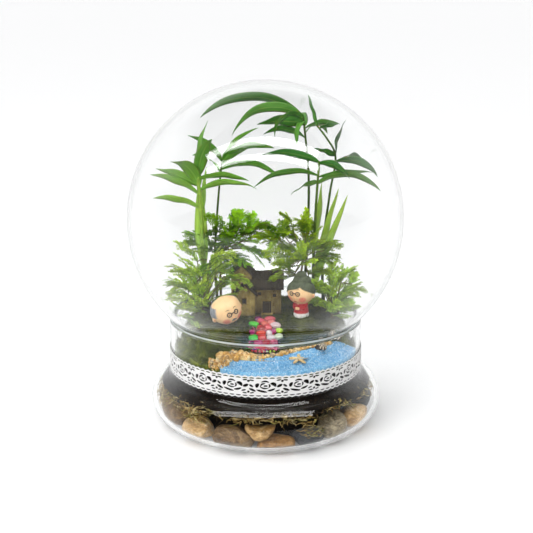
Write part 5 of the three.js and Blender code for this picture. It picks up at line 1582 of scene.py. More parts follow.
def calm_face():
    """A nose, resting eyes, thin brows and round wire glasses, all generic."""
    t = np.linspace(0, TURN, 25)
    parts = [ball(on_face(0.0, -2.7, 0.15), (1.0, 0.8, 0.8), 8, 12, colour=SKIN * (1.0, 0.84, 0.78))]
    for side in (-1, 1):
        ring = on_face(side * 2.5 + 1.4 * np.cos(t), 0.2 + 1.4 * np.sin(t), 0.3)
        parts.append(tubes(ring[None], 0.33, 7, LEVEL, colour=WIRE))
        parts.append(ball(on_face(side * 2.4, 0.1, 0.02), (0.55, 0.2, 0.32), 6, 10, colour=srgb("2a1d1a")))
        brow = side * np.array([1.5, 2.6, 3.7])
        parts.append(face_line(brow, [3.0, 3.5, 3.1], 0.04, 0.16, srgb("5a3a2c")))
    parts.append(face_line([-1.1, 0, 1.1], [0.35, 0.7, 0.35], 0.45, 0.3, WIRE))
    return parts


def robe(profile, colours):
    """A robed body turned from a profile (r, z), in one colour up to the hem's height and another above, with
    soft folds."""
    line = spaced(catmull(np.array([(r, z, 0) for r, z in profile]), 8), 70)[:, :2]
    body = lathe(line, 64)
    angle = np.arctan2(body.points[:, 0], -body.points[:, 1])
    z = body.points[:, 2]
    body.points[:, :2] *= (1 + 0.02 * np.sin(7 * angle + 0.6) * smoothstep(12, 2, z))[:, None]
    hem, low, high = colours
    body.colour = blended(low, high, smoothstep(hem - 0.15, hem + 0.15, z)[:, None])
    return body


def sleeves_and_hands(cloth):
    """Two sleeves that come round to clasped hands."""
    parts = []
    for side in (-1, 1):
        line = catmull(np.array([(3.4, 0.2, 11.0), (4.7, -1.2, 8.6), (3.6, -3.6, 6.9), (1.5, -5.0, 6.9)]), 6)
        radii = np.linspace(1.35, 1.15, len(line))
        parts.append(tubes((line * (side, 1, 1))[None], radii[None], 14, colour=cloth))
        parts.append(ball((side * 0.75, -5.5, 6.9), (1.05, 0.8, 0.95), 9, 12, colour=SKIN))
        for i in range(3):
            finger = (side * (0.25 + 0.45 * i), -6.1, 6.6)
            parts.append(ball(finger, (0.24, 0.28, 0.62), 6, 8, colour=SKIN * 0.95))
    return parts


def placed(body, head, at, lean, turn, head_z, lift=0.3):
    """The head leaned to one side on the body, and the figure turned to its heading and stood on its pad."""
    top = fuse(head)
    top.points = turned_about(top.points, "Y", lean) + (0, -0.5, head_z)
    figure = fuse([*body, top])
    figure.points = turned_about(figure.points, "Z", turn) + (at[0], at[1], at[2] + lift)
    return figure


def make_old_man():
    """A bald head with grey hair at the sides and back, a small grey moustache, and a dark blue-grey robe."""

    def side_hair(azimuth, height):
        turn = np.where(azimuth > 0, azimuth - 28, -azimuth)
        scallop = 0.05 * np.sin(np.radians(turn * 9))
        sides = smoothstep(62, 68, turn)
        line = smoothstep(0.6, 0.54, height) * smoothstep(-0.5, -0.42, height - scallop)
        ear_gap = 1 - smoothstep(104, 96, turn) * smoothstep(-0.02, -0.1, height)
        return sides * line * np.clip(ear_gap, 0, 1)

    head = [painted_head(side_hair, GREY_HAIR, 0.7), *ear(-1), *ear(1), *calm_face()]
    for side in (-1, 1):
        curl = side * np.array([0.1, 0.9, 1.7])
        head.append(face_line(curl, [-4.2, -4.5, -5.1], 0.1, [0.7, 0.58, 0.25], srgb("5c6166")))
    head.append(face_line([-0.8, 0, 0.8], [-5.6, -5.8, -5.6], 0.02, 0.18, srgb("9c3f38")))
    profile = [(0, 0), (4.9, 0), (5.4, 0.8), (5.5, 2.6), *SHOULDERS]
    navy, pale = srgb("2c3442"), srgb("8d8f92")
    body = [robe(profile, (2.6, pale, navy)), *sleeves_and_hands(navy)]
    return placed(body, head, MAN, -20, 30, HEAD_Z - 0.5)


def make_old_woman():
    """Dark hair swept up from a parting into a broad bun, a red jacket and a white skirt."""

    def cap(azimuth, height):
        part = azimuth - 24
        drop = np.where(part > 0, 0.0084 * part, -0.004 * part + 0.0044 * np.maximum(-part - 52, 0))
        line = 0.44 - drop + 0.05 * smoothstep(12, 0, np.abs(part))
        return smoothstep(-0.03, 0.03, height - np.maximum(line, -0.6))

    head = fuse([painted_head(cap, DARK_HAIR, 0.5), *ear(-1), *ear(1), *calm_face()])
    head.points = head.points * (0.92, 0.93, 0.91)
    crown = ball((0, 1.0, 6.0), (6.4, 6.2, 4.9), 26, 40, colour=DARK_HAIR, finish=HAIR)
    bun = ball((0, 1.0, 10.4), (3.9, 3.8, 2.9), 26, 40, colour=DARK_HAIR, finish=HAIR)
    for piece in (crown, bun):
        swirl = np.arctan2(piece.points[:, 0], piece.points[:, 1] - 1.0) * 3 + piece.points[:, 2] * 1.4
        middle = (0, 1.0, piece.points[:, 2].mean())
        piece.points = (piece.points - middle) * (1 + 0.05 * np.sin(swirl))[:, None] + middle
    smile = face_line([-0.7, 0, 0.7], [-4.9, -5.15, -4.9], 0.02, 0.2, srgb("b03a40"))
    profile = [(0, 0), (4.8, 0), (5.4, 0.5), (5.6, 1.8), (5.4, 3.4), *SHOULDERS]
    red, white = srgb("b0202a"), srgb("e9e6e2")
    lapel = [(-2.4, -3.2, 12.0), (-0.8, -4.3, 10.8), (0, -4.6, 9.9), (0.8, -4.3, 10.8), (2.4, -3.2, 12.0)]
    collar = tubes(catmull(lapel, 5)[None], 0.5, 8, colour=srgb("e8c9b0"))
    body = fuse([robe(profile, (3.2, white, red)), *sleeves_and_hands(red), collar])
    body.points = body.points * (0.9, 0.92, 1)
    return placed([body], [head, crown, bun, smile], WOMAN, -3, -32, HEAD_Z - 3.0, 1.5)


# The plants


# Where each stem stands and its radius there
FEET = {
    "palm_left_near": (-41, 25, 1.9), "palm_left_far": (-34, 32, 1.0), "palm_right_tall": (27, 33, 1.1),
    "palm_right_side": (40, 26, 1.0), "palm_right_mid": (33, 21, 1.2), "spikemoss_left": (-42, 1, 1.3),
    "spikemoss_block": (-31, 25, 1.3), "spikemoss_arch": (21, 18, 1.3), "spikemoss_right": (45, -2, 1.3),
}
# The bends of each palm's stem, and its leaflets: height on the stem, heading, rise, length, droop, width
PALMS = {
    "palm_left_near": ([(-42, 22, 90), (-43, 16, 135), (-45, 13, 168)], [
        (98, 200, 86, 62, -4, 9), (120, 60, 86, 48, 6, 7), (156, 232, 72, 34, 70, 9),
        (163, 305, 80, 34, 50, 9), (165, 55, 88, 36, 30, 8), (156, 188, 36, 31, 26, 7.5),
        (150, 180, 40, 36, 34, 6.5), (141, 186, 30, 33, 34, 6.5), (160, 340, 24, 36, 45, 6),
        (153, 335, 34, 44, 55, 5)]),
    "palm_left_far": ([(-35, 31, 100), (-32, 29, 145), (-29, 27, 172)], [
        (165, 358, 28, 42, 70, 7), (168, 8, 50, 30, 40, 6.5), (171, 0, 46, 38, 66, 7),
        (171, 340, 66, 36, 50, 3.4), (169, 60, 50, 34, 60, 6.5), (162, 130, 45, 34, 60, 7),
        (170, 175, 62, 30, 50, 6)]),
    "palm_right_tall": ([(28.5, 30, 110), (29, 25, 160), (25, 20, 201)], [
        (199, 179, 48, 76, 92, 9.5), (200, 188, 44, 57, 112, 7.5), (200.5, 205, 34, 30, 125, 6),
        (196, 170, 14, 32, 34, 9), (197, 250, 26, 26, 115, 6.5), (195, 95, 40, 40, 90, 8),
        (190, 60, 34, 36, 80, 7), (193, 20, 30, 26, 50, 5), (186, 150, 36, 34, 70, 6)]),
    "palm_right_side": ([(39, 24, 110), (43, 19, 150), (46, 16, 177), (40, 15, 188), (33, 14, 197)], [
        (196.5, 172, 72, 22, -4, 3.6), (194, 20, 18, 14, 20, 4.5), (175, 40, 84, 26, 30, 11),
        (172, 8, 18, 34, 76, 6.5), (176, 190, 26, 15, 16, 5), (170, 50, 34, 34, 70, 7)]),
    "palm_right_mid": ([(32.5, 18, 100), (33.5, 10, 145), (35, 6, 174)], [
        (100, 20, 84, 58, 0, 9), (84, 350, 80, 72, 6, 7), (84, 345, 73, 70, 4, 6.4),
        (163, 2, 14, 36, 18, 4.5), (159, 352, 38, 46, 88, 6.5), (173, 182, 30, 42, 48, 6),
        (172, 335, 14, 24, 70, 7), (164, 187, 24, 46, 66, 5), (160, 215, 4, 22, 40, 6)]),
}
# Tints from the stem's foot to its top, and of the youngest and the oldest leaflets
PALM_TONES = {
    # The near left palm's tints are the lightest: painted light falling from the left
    "palm_left_near": ("83a03e", "98b84e", "b4dc62", "5c9430"),
    "palm_left_far": ("3a4a24", "4d6a2c", "6aa83c", "3c7628"),
    "palm_right_tall": ("2c3c20", "4a6428", "5a9438", "33701f"),
    "palm_right_side": ("33441f", "4d6a2a", "3f7d2c", "2a5c22"),
    "palm_right_mid": ("3c4d22", "5d7a30", "a9cc58", "33702a"),
}
# Palms whose lowest leaflets are the youngest; in the others age goes at random
PALMS_BY_HEIGHT = ("palm_left_near", "palm_right_mid")
LEAF, STEM = 0, 1


def palm_stem(name, bends):
    """The stem's line from its foot through its bends, and its tube, a little thicker at each leaf scar."""
    x, y, radius = FEET[name]
    foot = float(ground_z(x, y)) - 2
    line = spaced(catmull([(x, y, foot), (x, y, TERRACE_GROUND_Z + 4), *bends], 20), 120)
    share = np.linspace(0, 1, 120)
    scar = np.exp(-(((share * 9) % 1 - 0.5) / 0.07) ** 2)
    radii = radius * (1 - 0.4 * share) * (1 + 0.14 * scar)
    low, high = palette(*PALM_TONES[name][:2])
    shade = low + (high - low) * share[:, None]
    shade = shade * (1 + 0.25 * scar[:, None])
    body = tubes(line[None], radii[None], 12, (0.4, 0.9, 0.02), finish=STEM)
    body.colour = np.concatenate([np.repeat(shade, 12, axis=0), shade[[0, -1]]])
    return line, body


def make_palm(name):
    """A young parlour palm: the stem, and leaflets that are widest before their middle, folded along the rib,
    arched down by their droop and rolled so that those at the sides show their faces."""
    bends, rows = PALMS[name]
    line, body = palm_stem(name, bends)
    random = np.random.default_rng(len(name) + int(FEET[name][0]) ** 2)
    height, heading, rise, length, droop, width = np.array(rows, float).T
    start = line[np.abs(line[:, 2][None] - height[:, None]).argmin(1)]
    steps = 30
    drift = random.normal(0, 5, len(rows))
    paths = inside_air(arcs(start, heading, rise, length, droop, steps, drift), 2.2)
    _, side, face = framed(paths)
    s = np.linspace(0, 1, steps + 1)[None]
    roll = -58 * np.cos(np.radians(heading))[:, None] + 14 * np.sin(TURN * s * 0.8 + heading[:, None])
    side, face = rolled(side, face, -roll)
    shape = np.sin(math.pi * (0.03 + 0.955 * s) ** 0.72) ** 0.9
    half = np.maximum(0.12, width[:, None] / 2 * np.clip(shape, 0, 1))
    wave = 0.35 * np.sin(TURN * s * 2.2 + heading[:, None])
    paths = paths + face * wave[..., None] * np.clip(s * 3, 0, 1)[..., None]
    young, old = palette(*PALM_TONES[name][2:])
    age = np.clip((height - height.min()) / max(np.ptp(height), 1), 0, 1)
    if name not in PALMS_BY_HEIGHT:
        age = random.random(len(rows))
    tone = blended(young, old, age[:, None])
    shade = tone[:, None] * (1.12 - 0.22 * s[0])[None, :, None]
    across = 7
    colours = np.concatenate([np.repeat(shade, 2 * across - 2, axis=1), shade[:, [0, -1]]], 1).reshape(-1, 3)
    blades = leaves(paths, side, face, half, 0.16, 0.16, across, colours)
    return fuse([blades, body])


# The top of each clump's stem
SPIKEMOSS_CROWNS = {
    "spikemoss_left": (-42, 1, 76), "spikemoss_block": (-31, 27, 108),
    "spikemoss_arch": (25, 3, 108), "spikemoss_right": (45, -2, 76),
}
# Fronds of each clump, each from a point: x, y, z, heading, rise, length, droop, reach of its side branches
SPIKEMOSS_FRONDS = {
    "spikemoss_left": [
        (-43, 2, 76, 172, 68, 30, 60, 9), (-42, 3, 78, 150, 78, 36, 36, 9),
        (-40, 4, 80, 60, 78, 24, 30, 9), (-46, 0, 76, 205, 46, 22, 40, 9),
        (-44, -2, 74, 246, 50, 18, 40, 8), (-38, 3, 78, 30, 64, 22, 40, 9),
        (-48, 6, 84, 176, 44, 20, 50, 9), (-46, 10, 92, 168, 50, 22, 50, 9),
        (-40, 8, 92, 20, 60, 22, 40, 9), (-36, 0, 80, 330, 40, 18, 30, 8),
        (-50, 4, 72, 190, 30, 16, 40, 8), (-42, -4, 78, 275, 62, 16, 50, 8),
        (-38, 8, 100, 10, 56, 20, 44, 9), (-46, 14, 104, 160, 60, 18, 44, 8),
        (-34, 6, 88, 340, 52, 20, 40, 8), (-49, -6, 70, 225, 26, 14, 30, 7),
        (-44, 12, 82, 120, 60, 24, 50, 9), (-36, 14, 94, 70, 66, 24, 50, 9),
        (-41, -1, 88, 260, 70, 18, 60, 8), (-47, 2, 92, 200, 60, 20, 50, 8),
        (-28, -2, 98, 350, 14, 19, 50, 6), (-27, -1, 94, 335, 0, 14, 30, 5.5),
        (-52, 2, 84, 180, 30, 14, 60, 7), (-32, 2, 100, 20, 50, 14, 60, 7),
    ],
    "spikemoss_block": [
        (-30, 26, 112, 350, 44, 26, 44, 9), (-31, 25, 112, 275, 66, 20, 50, 9),
        (-29, 27, 112, 30, 66, 24, 40, 9), (-26, 24, 116, 340, 50, 22, 40, 9),
        (-22, 22, 118, 0, 40, 24, 40, 9), (-18, 22, 122, 350, 36, 20, 44, 9),
        (-28, 22, 116, 300, 60, 20, 50, 8), (-24, 26, 118, 60, 64, 20, 40, 9),
        (-16, 22, 120, 20, 46, 18, 40, 8), (-36, 24, 112, 180, 50, 20, 44, 9),
        (-40, 22, 110, 170, 40, 18, 50, 8), (-34, 22, 108, 220, 40, 18, 40, 8),
        (-20, 20, 112, 310, 34, 18, 44, 8), (-12, 20, 118, 340, 30, 16, 44, 8),
        (-22, 18, 108, 300, 10, 16, 40, 8), (-27, 20, 104, 280, 20, 18, 40, 8),
        (-32, 18, 102, 250, 24, 18, 40, 8), (-20, 24, 124, 80, 60, 16, 50, 8),
        (-10, 18, 112, 330, 4, 15, 50, 7), (-28, 16, 96, 320, 16, 16, 40, 7),
        (-17, 11, 118, 325, -20, 21, 30, 6), (-6, 16, 128, 0, 26, 12, 40, 7.5),
        (0, 15, 126, 10, 0, 12, 30, 6), (-28, 22, 124, 190, 66, 15, 40, 8),
        (-10, 18, 126, 60, 60, 12, 40, 8), (-18, 18, 128, 100, 70, 11, 40, 8),
    ],
    "spikemoss_arch": [
        (24, 4, 108, 178, 56, 18, 50, 8), (22, 6, 112, 165, 44, 20, 44, 8),
        (26, 5, 112, 334, 60, 16, 34, 8), (24, 2, 108, 255, 60, 14, 40, 8),
        (20, 6, 108, 190, 34, 20, 40, 8), (28, 6, 116, 40, 66, 16, 40, 8),
        (22, 8, 116, 130, 60, 18, 40, 8), (16, 8, 118, 175, 30, 17, 50, 8),
        (26, 8, 122, 90, 70, 16, 30, 7), (30, 6, 106, 350, 30, 15, 40, 8),
        (29, 4, 98, 330, 36, 15, 40, 7), (20, 4, 100, 200, 30, 15, 40, 7),
        (25, 8, 126, 250, 60, 14, 40, 7), (32, 8, 112, 10, 50, 16, 40, 8),
        (18, 6, 96, 180, 10, 13, 30, 7), (8, 10, 122, 178, 24, 14, 50, 7),
        (12, 10, 124, 100, 60, 12, 40, 7), (31, 4, 88, 320, 40, 13, 40, 7),
        (19, 3, 106, 184, 24, 14, 40, 4.5), (20, 3, 104, 192, 4, 15, 20, 4),
        (37, 6, 110, 350, 30, 11, 60, 7.5), (36, 6, 116, 15, 44, 12, 60, 7.5),
        (19, 7, 126, 140, 74, 13, 30, 4.5), (27, 6, 126, 80, 78, 15, 10, 4.5),
    ],
    "spikemoss_right": [
        (46, -2, 76, 15, 72, 26, 40, 9), (46, 0, 78, 72, 80, 24, 24, 9), (45, -4, 74, 290, 50, 18, 40, 8),
        (48, 0, 78, 350, 56, 20, 44, 8), (44, 2, 80, 150, 70, 20, 40, 8), (50, 2, 80, 20, 50, 18, 50, 8),
        (42, 0, 76, 200, 50, 16, 40, 8), (46, 4, 88, 40, 60, 18, 50, 8), (44, -2, 84, 250, 66, 16, 50, 8),
        (50, -4, 74, 340, 40, 16, 40, 8), (40, 4, 84, 170, 50, 15, 40, 7), (52, 4, 86, 10, 30, 14, 44, 7),
        (47, -6, 72, 300, 30, 14, 30, 7), (45, 6, 92, 100, 70, 14, 40, 7),
        (38, 2, 78, 190, 34, 13, 40, 7), (50, -2, 94, 20, 66, 15, 60, 8), (54, 0, 86, 350, 40, 12, 60, 7),
        (40, -2, 88, 200, 60, 13, 50, 7),
    ],
}
SPIKEMOSS_TONES = {
    "spikemoss_left": ("d4ee50", "8cb42e"), "spikemoss_block": ("96d00a", "346404"),
    "spikemoss_arch": ("bada2a", "50730e"), "spikemoss_right": ("caea54", "84aa30"),
}


def scale_leaves(base, forward, side, face, length, width, colour):
    """Small pointed leaves, each a six-cornered lozenge with a ridge above and below: foot, right, tip,
    left, ridge, keel."""
    middle = base + forward * (0.45 * length)[:, None]
    half = side * (0.5 * width)[:, None]
    keel = face * (0.09 * width)[:, None]
    tip = base + forward * length[:, None]
    points = np.stack([base, middle + half, tip, middle - half, middle + keel, middle - keel], 1)
    faces = [(0, 1, 4), (1, 2, 4), (2, 3, 4), (3, 0, 4), (1, 0, 5), (2, 1, 5), (3, 2, 5), (0, 3, 5)]
    return repeated(points, None, faces, colour=np.repeat(colour, 6, axis=0), finish=LEAF)


def make_spikemoss(name, scale):
    """A clump of spikemoss. Each frond's axis is an arc, with a smaller shoot beside it. Side twigs leave
    each axis by turns, longest in the middle, and carry two rows of scale leaves."""
    rows = np.array(SPIKEMOSS_FRONDS[name], float)
    random = np.random.default_rng(len(rows) * 7 + len(name))
    beside = rows + random.normal(0, 1, rows.shape) * (2.6, 2.6, 2.4, 36, 16, 0, 12, 0)
    beside[:, 5] *= random.uniform(0.5, 0.85, len(beside))
    beside[:, 7] *= random.uniform(0.65, 0.9, len(beside))
    fronds = np.concatenate([rows, beside])
    start, heading, rise, length, droop, reach = fronds[:, :3], *fronds[:, 3:].T
    count, steps, branches, pairs = len(fronds), 20, 15, 8
    axis = arcs(start, heading, rise, length, droop, steps, random.normal(0, 20, count))
    tangent, side, face = framed(axis)
    roll = 40 * np.cos(np.radians(heading))[:, None] + random.normal(0, 22, (count, 1))
    side, face = rolled(side, face, roll)
    share = np.linspace(0.05, 0.985, branches)
    k = np.round(share * steps).astype(int)
    hand = np.where(np.arange(branches) % 2, 1.0, -1.0)[None, :, None]
    foot, ahead, out, up = axis[:, k], tangent[:, k], side[:, k], face[:, k]
    splay = np.radians(64 - 30 * share)[None, :, None] + random.normal(0, 0.12, (count, branches, 1))
    rising = up * random.normal(0, 0.16, (count, branches, 1))
    direction = unit(ahead * np.cos(splay) + hand * out * np.sin(splay) + rising)
    span = reach[:, None] * np.sin(math.pi * (0.24 + 0.6 * share))[None]
    span = span * random.uniform(0.7, 1.1, (count, branches))
    bend = unit(ahead - direction * (ahead * direction).sum(-1, keepdims=True))

    def on_twig(u):
        curve = 0.2 * bend[:, :, None] * u**2 - 0.14 * np.array([0, 0, 1.0]) * u**2
        return foot[:, :, None] + span[..., None, None] * (direction[:, :, None] * u + curve)

    twig = on_twig(np.linspace(0, 1, 4)[None, None, :, None])
    spacing = 1.2 * scale
    fraction = (np.arange(pairs) + 0.5)[None, None] * spacing / np.maximum(span[..., None], 0.1)
    place = on_twig(np.clip(fraction, 0, 1)[..., None])
    dirs = direction[:, :, None] * np.ones((1, 1, pairs, 1))
    ups = up[:, :, None] + random.normal(0, 0.22, (count, branches, 1, 3))
    across = unit(np.cross(ups, dirs))
    ups = np.cross(dirs, across)
    live = fraction < 1.02
    tip, deep = palette(*SPIKEMOSS_TONES[name])
    old = random.uniform(0.0, 1.0, (count, 1, 1)) + random.normal(0, 0.2, (count, branches, 1))
    glow = np.clip(0.3 + 0.5 * share[None, :, None] + 0.35 * np.clip(fraction, 0, 1) - 0.6 * old, 0, 1)
    tone = deep + (tip - deep) * glow[..., None]
    parts = []
    for hand_leaf in (-1.0, 1.0):
        lean = 0.9 + random.normal(0, 0.16, live.shape)[..., None]
        raised = ups * random.normal(0.08, 0.12, live.shape)[..., None]
        forward = unit(dirs * np.cos(lean) + hand_leaf * across * np.sin(lean) + raised)
        broad = unit(np.cross(ups, forward))
        size = scale * random.uniform(1.4, 1.95, live.shape) * (1 - 0.25 * np.clip(fraction, 0, 1) ** 2)
        shade = tone[live] * random.uniform(0.62, 1.38, (live.sum(), 1))
        parts.append(scale_leaves(place[live], forward[live], broad[live], -np.cross(forward, broad)[live],
                                  size[live], 0.82 * size[live], shade))
    k = np.round(np.linspace(0.08, 1, 11) * steps).astype(int)
    for hand_leaf in (-1.0, 1.0):
        foot_m, ahead_m, out_m, up_m = (v[:, k].reshape(-1, 3) for v in (axis, tangent, side, face))
        forward = unit(ahead_m * 0.75 + hand_leaf * out_m * 0.66 + up_m * 0.1)
        size = scale * random.uniform(1.4, 2.0, len(foot_m))
        shade = (deep * 0.5 + tip * 0.5) * random.uniform(0.75, 1.1, (len(foot_m), 1))
        broad = unit(np.cross(up_m, forward))
        parts.append(scale_leaves(foot_m, forward, broad, -np.cross(forward, broad), size, 0.6 * size, shade))
    brown, green = srgb("6d5c2c"), srgb("5d7a2c")
    parts.append(tubes(axis, np.linspace(0.34, 0.14, steps + 1)[None], 5, finish=STEM, colour=green))
    parts.append(tubes(twig.reshape(-1, 4, 3), 0.13, 3, finish=STEM, colour=green))
    foot_x, foot_y, _ = FEET[name]
    crown, foot_z = SPIKEMOSS_CROWNS[name], float(ground_z(foot_x, foot_y)) - 2
    stem = [(foot_x, foot_y, foot_z), (foot_x, foot_y, TERRACE_GROUND_Z + 3), crown]
    stem_line = spaced(catmull(stem, 12), 40)
    parts.append(tubes(stem_line[None], np.linspace(1.0, 0.6, 40)[None], 9, finish=STEM, colour=brown))
    anchors = np.concatenate([np.broadcast_to(np.array(crown, float), rows[:, :3].shape), rows[:, :3]])
    middle = (anchors + start) / 2 + random.normal(0, 0.8, start.shape) + (0, 0, 0.8)
    t = np.linspace(0, 1, 6)[None, :, None]
    path = (1 - t) ** 2 * anchors[:, None] + 2 * t * (1 - t) * middle[:, None] + t**2 * start[:, None]
    parts.append(tubes(path, 0.36, 5, finish=STEM, colour=blended(brown, green, 0.3)))
    clump = fuse(parts)
    clump.points = inside_air(clump.points)
    return clump


# Settings


class VesselSettings(bpy.types.PropertyGroup):
    """Sizes and tone of the glass."""

    base_wall: bpy.props.FloatProperty(
        name="Base wall", description="Thickness of the base's glass", default=BASE_WALL * MM, unit="LENGTH")
    globe_wall: bpy.props.FloatProperty(
        name="Globe wall", description="Thickness of the globe's glass",
        default=GLOBE_WALL * MM, unit="LENGTH")
    glass_tone: bpy.props.FloatVectorProperty(
        name="Glass tone", description="Colour that the glass lets through",
        default=(0.985, 0.99, 0.988), subtype="COLOR")
    lace_cell: bpy.props.FloatProperty(
        name="Lace cell", description="Size of the lace's grid", default=0.3 * MM, unit="LENGTH")
    lace_thick: bpy.props.FloatProperty(
        name="Lace thickness", description="Thickness of the lace", default=0.32 * MM, unit="LENGTH")


class GardenSettings(bpy.types.PropertyGroup):
    """How many small things the garden holds."""

    moss_shoots: bpy.props.IntProperty(
        name="Moss shoots", description="Number of shoots on the moss", default=20000)
    sand_grains: bpy.props.IntProperty(
        name="Sand grains", description="Number of loose grains on the beach", default=9000)
    gravel_stones: bpy.props.IntProperty(
        name="Gravel stones", description="Number of stones along the beach", default=300)
    gem_chips: bpy.props.IntProperty(
        name="Gem chips", description="Number of small chips between the gems", default=160)
    dried_strands: bpy.props.IntProperty(
        name="Dried strands", description="Number of loose strands over the pebbles", default=800)
    soil_crumbs: bpy.props.IntProperty(
        name="Soil crumbs", description="Number of loose crumbs under the shoulder", default=900)
    leaf_scale: bpy.props.FloatProperty(
        name="Leaf scale", description="Size of the spikemoss leaves", default=1.0, subtype="FACTOR")


class StageSettings(bpy.types.PropertyGroup):
    """The floor, the lamps and the camera."""

    floor_radius: bpy.props.FloatProperty(
        name="Floor radius", description="How far the floor reaches", default=12.0, unit="LENGTH")
    floor_tone: bpy.props.FloatVectorProperty(
        name="Floor tone", description="Colour of the floor", default=(0.98, 0.98, 0.985), subtype="COLOR")
    strip_light: bpy.props.FloatProperty(
        name="Strip light", description="Radiance of the two strips that the glass mirrors", default=9.0)
    lens: bpy.props.FloatProperty(
        name="Lens", description="Focal length of the camera in millimetres", default=75.4)


# Operators


class TERRARIUM_OT_glass_base(bpy.types.Operator):
    """Blow the bulged glass base with its collar"""

    bl_idname = "terrarium.glass_base"
    bl_label = "Glass Base"

    def execute(self, context):
        vessel = context.scene.terrarium_vessel
        surface = make_glass_base(vessel.base_wall / MM)
        tone = tuple(vessel.glass_tone)
        body = clear_glass("base_glass", tone, BASE_BENDING)
        finishes = [body, ground_glass(), clear_glass("seat_glass", tone, SEAT_BENDING)]
        make_piece("base_glass", surface, finishes, ["glass_base"])
        return {"FINISHED"}


class TERRARIUM_OT_globe(bpy.types.Operator):
    """Blow the globe with its short neck"""

    bl_idname = "terrarium.globe"
    bl_label = "Glass Globe"

    def execute(self, context):
        vessel = context.scene.terrarium_vessel
        surface = make_globe(vessel.globe_wall / MM)
        tone = tuple(vessel.glass_tone)
        bowl = clear_glass("globe_glass", tone, GLOBE_BENDING)
        finishes = [bowl, clear_glass("neck_glass", tone, NECK_BENDING)]
        make_piece("globe_glass", surface, finishes, ["glass_globe"])
        return {"FINISHED"}


class TERRARIUM_OT_lace(bpy.types.Operator):
    """Tie the lace band round the foot of the collar"""

    bl_idname = "terrarium.lace"
    bl_label = "Lace Band"

    def execute(self, context):
        vessel = context.scene.terrarium_vessel
        surface, share = make_lace(vessel.lace_cell / MM)
        band = make_piece("lace_band", surface, [white_lace()], ["lace_ribbon"])
        thickness = band.modifiers.new("Thickness", "SOLIDIFY")
        thickness.thickness = vessel.lace_thick
        thickness.offset = 1.0
        return {"FINISHED"}


class TERRARIUM_OT_pebbles(bpy.types.Operator):
    """Lay the ring of river pebbles in the bulge"""

    bl_idname = "terrarium.pebbles"
    bl_label = "River Pebbles"

    def execute(self, context):
        finishes = {name: river_stone(name) for name in PEBBLE_TONES}
        for i, row in enumerate(PEBBLES, 1):
            surface = make_pebble(row, 100 + 3 * i)
            make_piece(f"river_pebble_{i}", surface, [finishes[row[-1]]], [f"pebble_{i}"])
        return {"FINISHED"}


class TERRARIUM_OT_fill(bpy.types.Operator):
    """Fill the base with dried moss and soil"""

    bl_idname = "terrarium.fill"
    bl_label = "Dried Moss and Soil"

    def execute(self, context):
        garden = context.scene.terrarium_garden
        strands = make_dried_moss(garden.dried_strands)
        finish = fibre("dried_moss", "8c8478", "ffffff")
        make_piece("dried_moss_mat", strands, [finish], ["dried_moss"])
        make_piece("soil_body", make_soil(garden.soil_crumbs), [dark_soil()], ["potting_soil"])
        return {"FINISHED"}


class TERRARIUM_OT_ground(bpy.types.Operator):
    """Plant the moss carpet and spread the beach"""

    bl_idname = "terrarium.ground"
    bl_label = "Moss and Beach"

    def execute(self, context):
        garden = context.scene.terrarium_garden
        make_piece("moss_bed", make_moss(garden.moss_shoots), [living_moss()], ["moss_carpet"])
        make_piece("beach_sand", make_sand(garden.sand_grains), [coarse_sand()], ["blue_sand"])
        gravel, finish = make_gravel(garden.gravel_stones), small_stone("tan_gravel", "bca88e")
        make_piece("gravel_heap", gravel, [finish], ["gravel_border"])
        return {"FINISHED"}


class TERRARIUM_OT_beach_finds(bpy.types.Operator):
    """Lay the starfish and the snail shells on the beach"""

    bl_idname = "terrarium.beach_finds"
    bl_label = "Starfish and Shells"

    def execute(self, context):
        starfish_finish = small_stone("starfish", "b9a78c", 0.7)
        make_piece("starfish_body", make_starfish(), [starfish_finish], ["starfish"])
        shell_finish = small_stone("snail_shell", "9c8c7c", 0.35)
        for i, row in enumerate(SHELLS, 1):
            shell = make_shell(*row)
            make_piece(f"spiral_shell_{i}", shell, [shell_finish], [f"snail_shell_{i}"])
        return {"FINISHED"}


class TERRARIUM_OT_gem_path(bpy.types.Operator):
    """Set the path of glass gems from the door to the beach"""

    bl_idname = "terrarium.gem_path"
    bl_label = "Gem Path"

    def execute(self, context):
        surface = make_gem_path(context.scene.terrarium_garden.gem_chips)
        make_piece("gem_stones", surface, [glass_gem()], ["gem_path"])
        return {"FINISHED"}


class TERRARIUM_OT_farmhouse(bpy.types.Operator):
    """Build the thatched farmhouse"""

    bl_idname = "terrarium.farmhouse"
    bl_label = "Farmhouse"

    def execute(self, context):
        finishes = [painted_wall(), painted_thatch(), dark_opening()]
        make_piece("thatched_house", make_farmhouse(), finishes, ["farmhouse"])
        return {"FINISHED"}


class TERRARIUM_OT_figurines(bpy.types.Operator):
    """Stand the two resin figurines on the moss"""

    bl_idname = "terrarium.figurines"
    bl_label = "Figurines"

    def execute(self, context):
        resin, hair = painted_resin("painted_resin"), painted_hair("painted_hair")
        make_piece("old_man", make_old_man(), [resin, hair], ["old_man_figurine"])
        make_piece("old_woman", make_old_woman(), [resin, hair], ["old_woman_figurine"])
        return {"FINISHED"}


class TERRARIUM_OT_palms(bpy.types.Operator):
    """Grow the five young parlour palms"""

    bl_idname = "terrarium.palms"
    bl_label = "Parlour Palms"

    def execute(self, context):
        finishes = [palm_green(), palm_stem_green()]
        for name in PALMS:
            make_piece(name.replace("palm", "parlour_palm"), make_palm(name), finishes, [name])
        return {"FINISHED"}


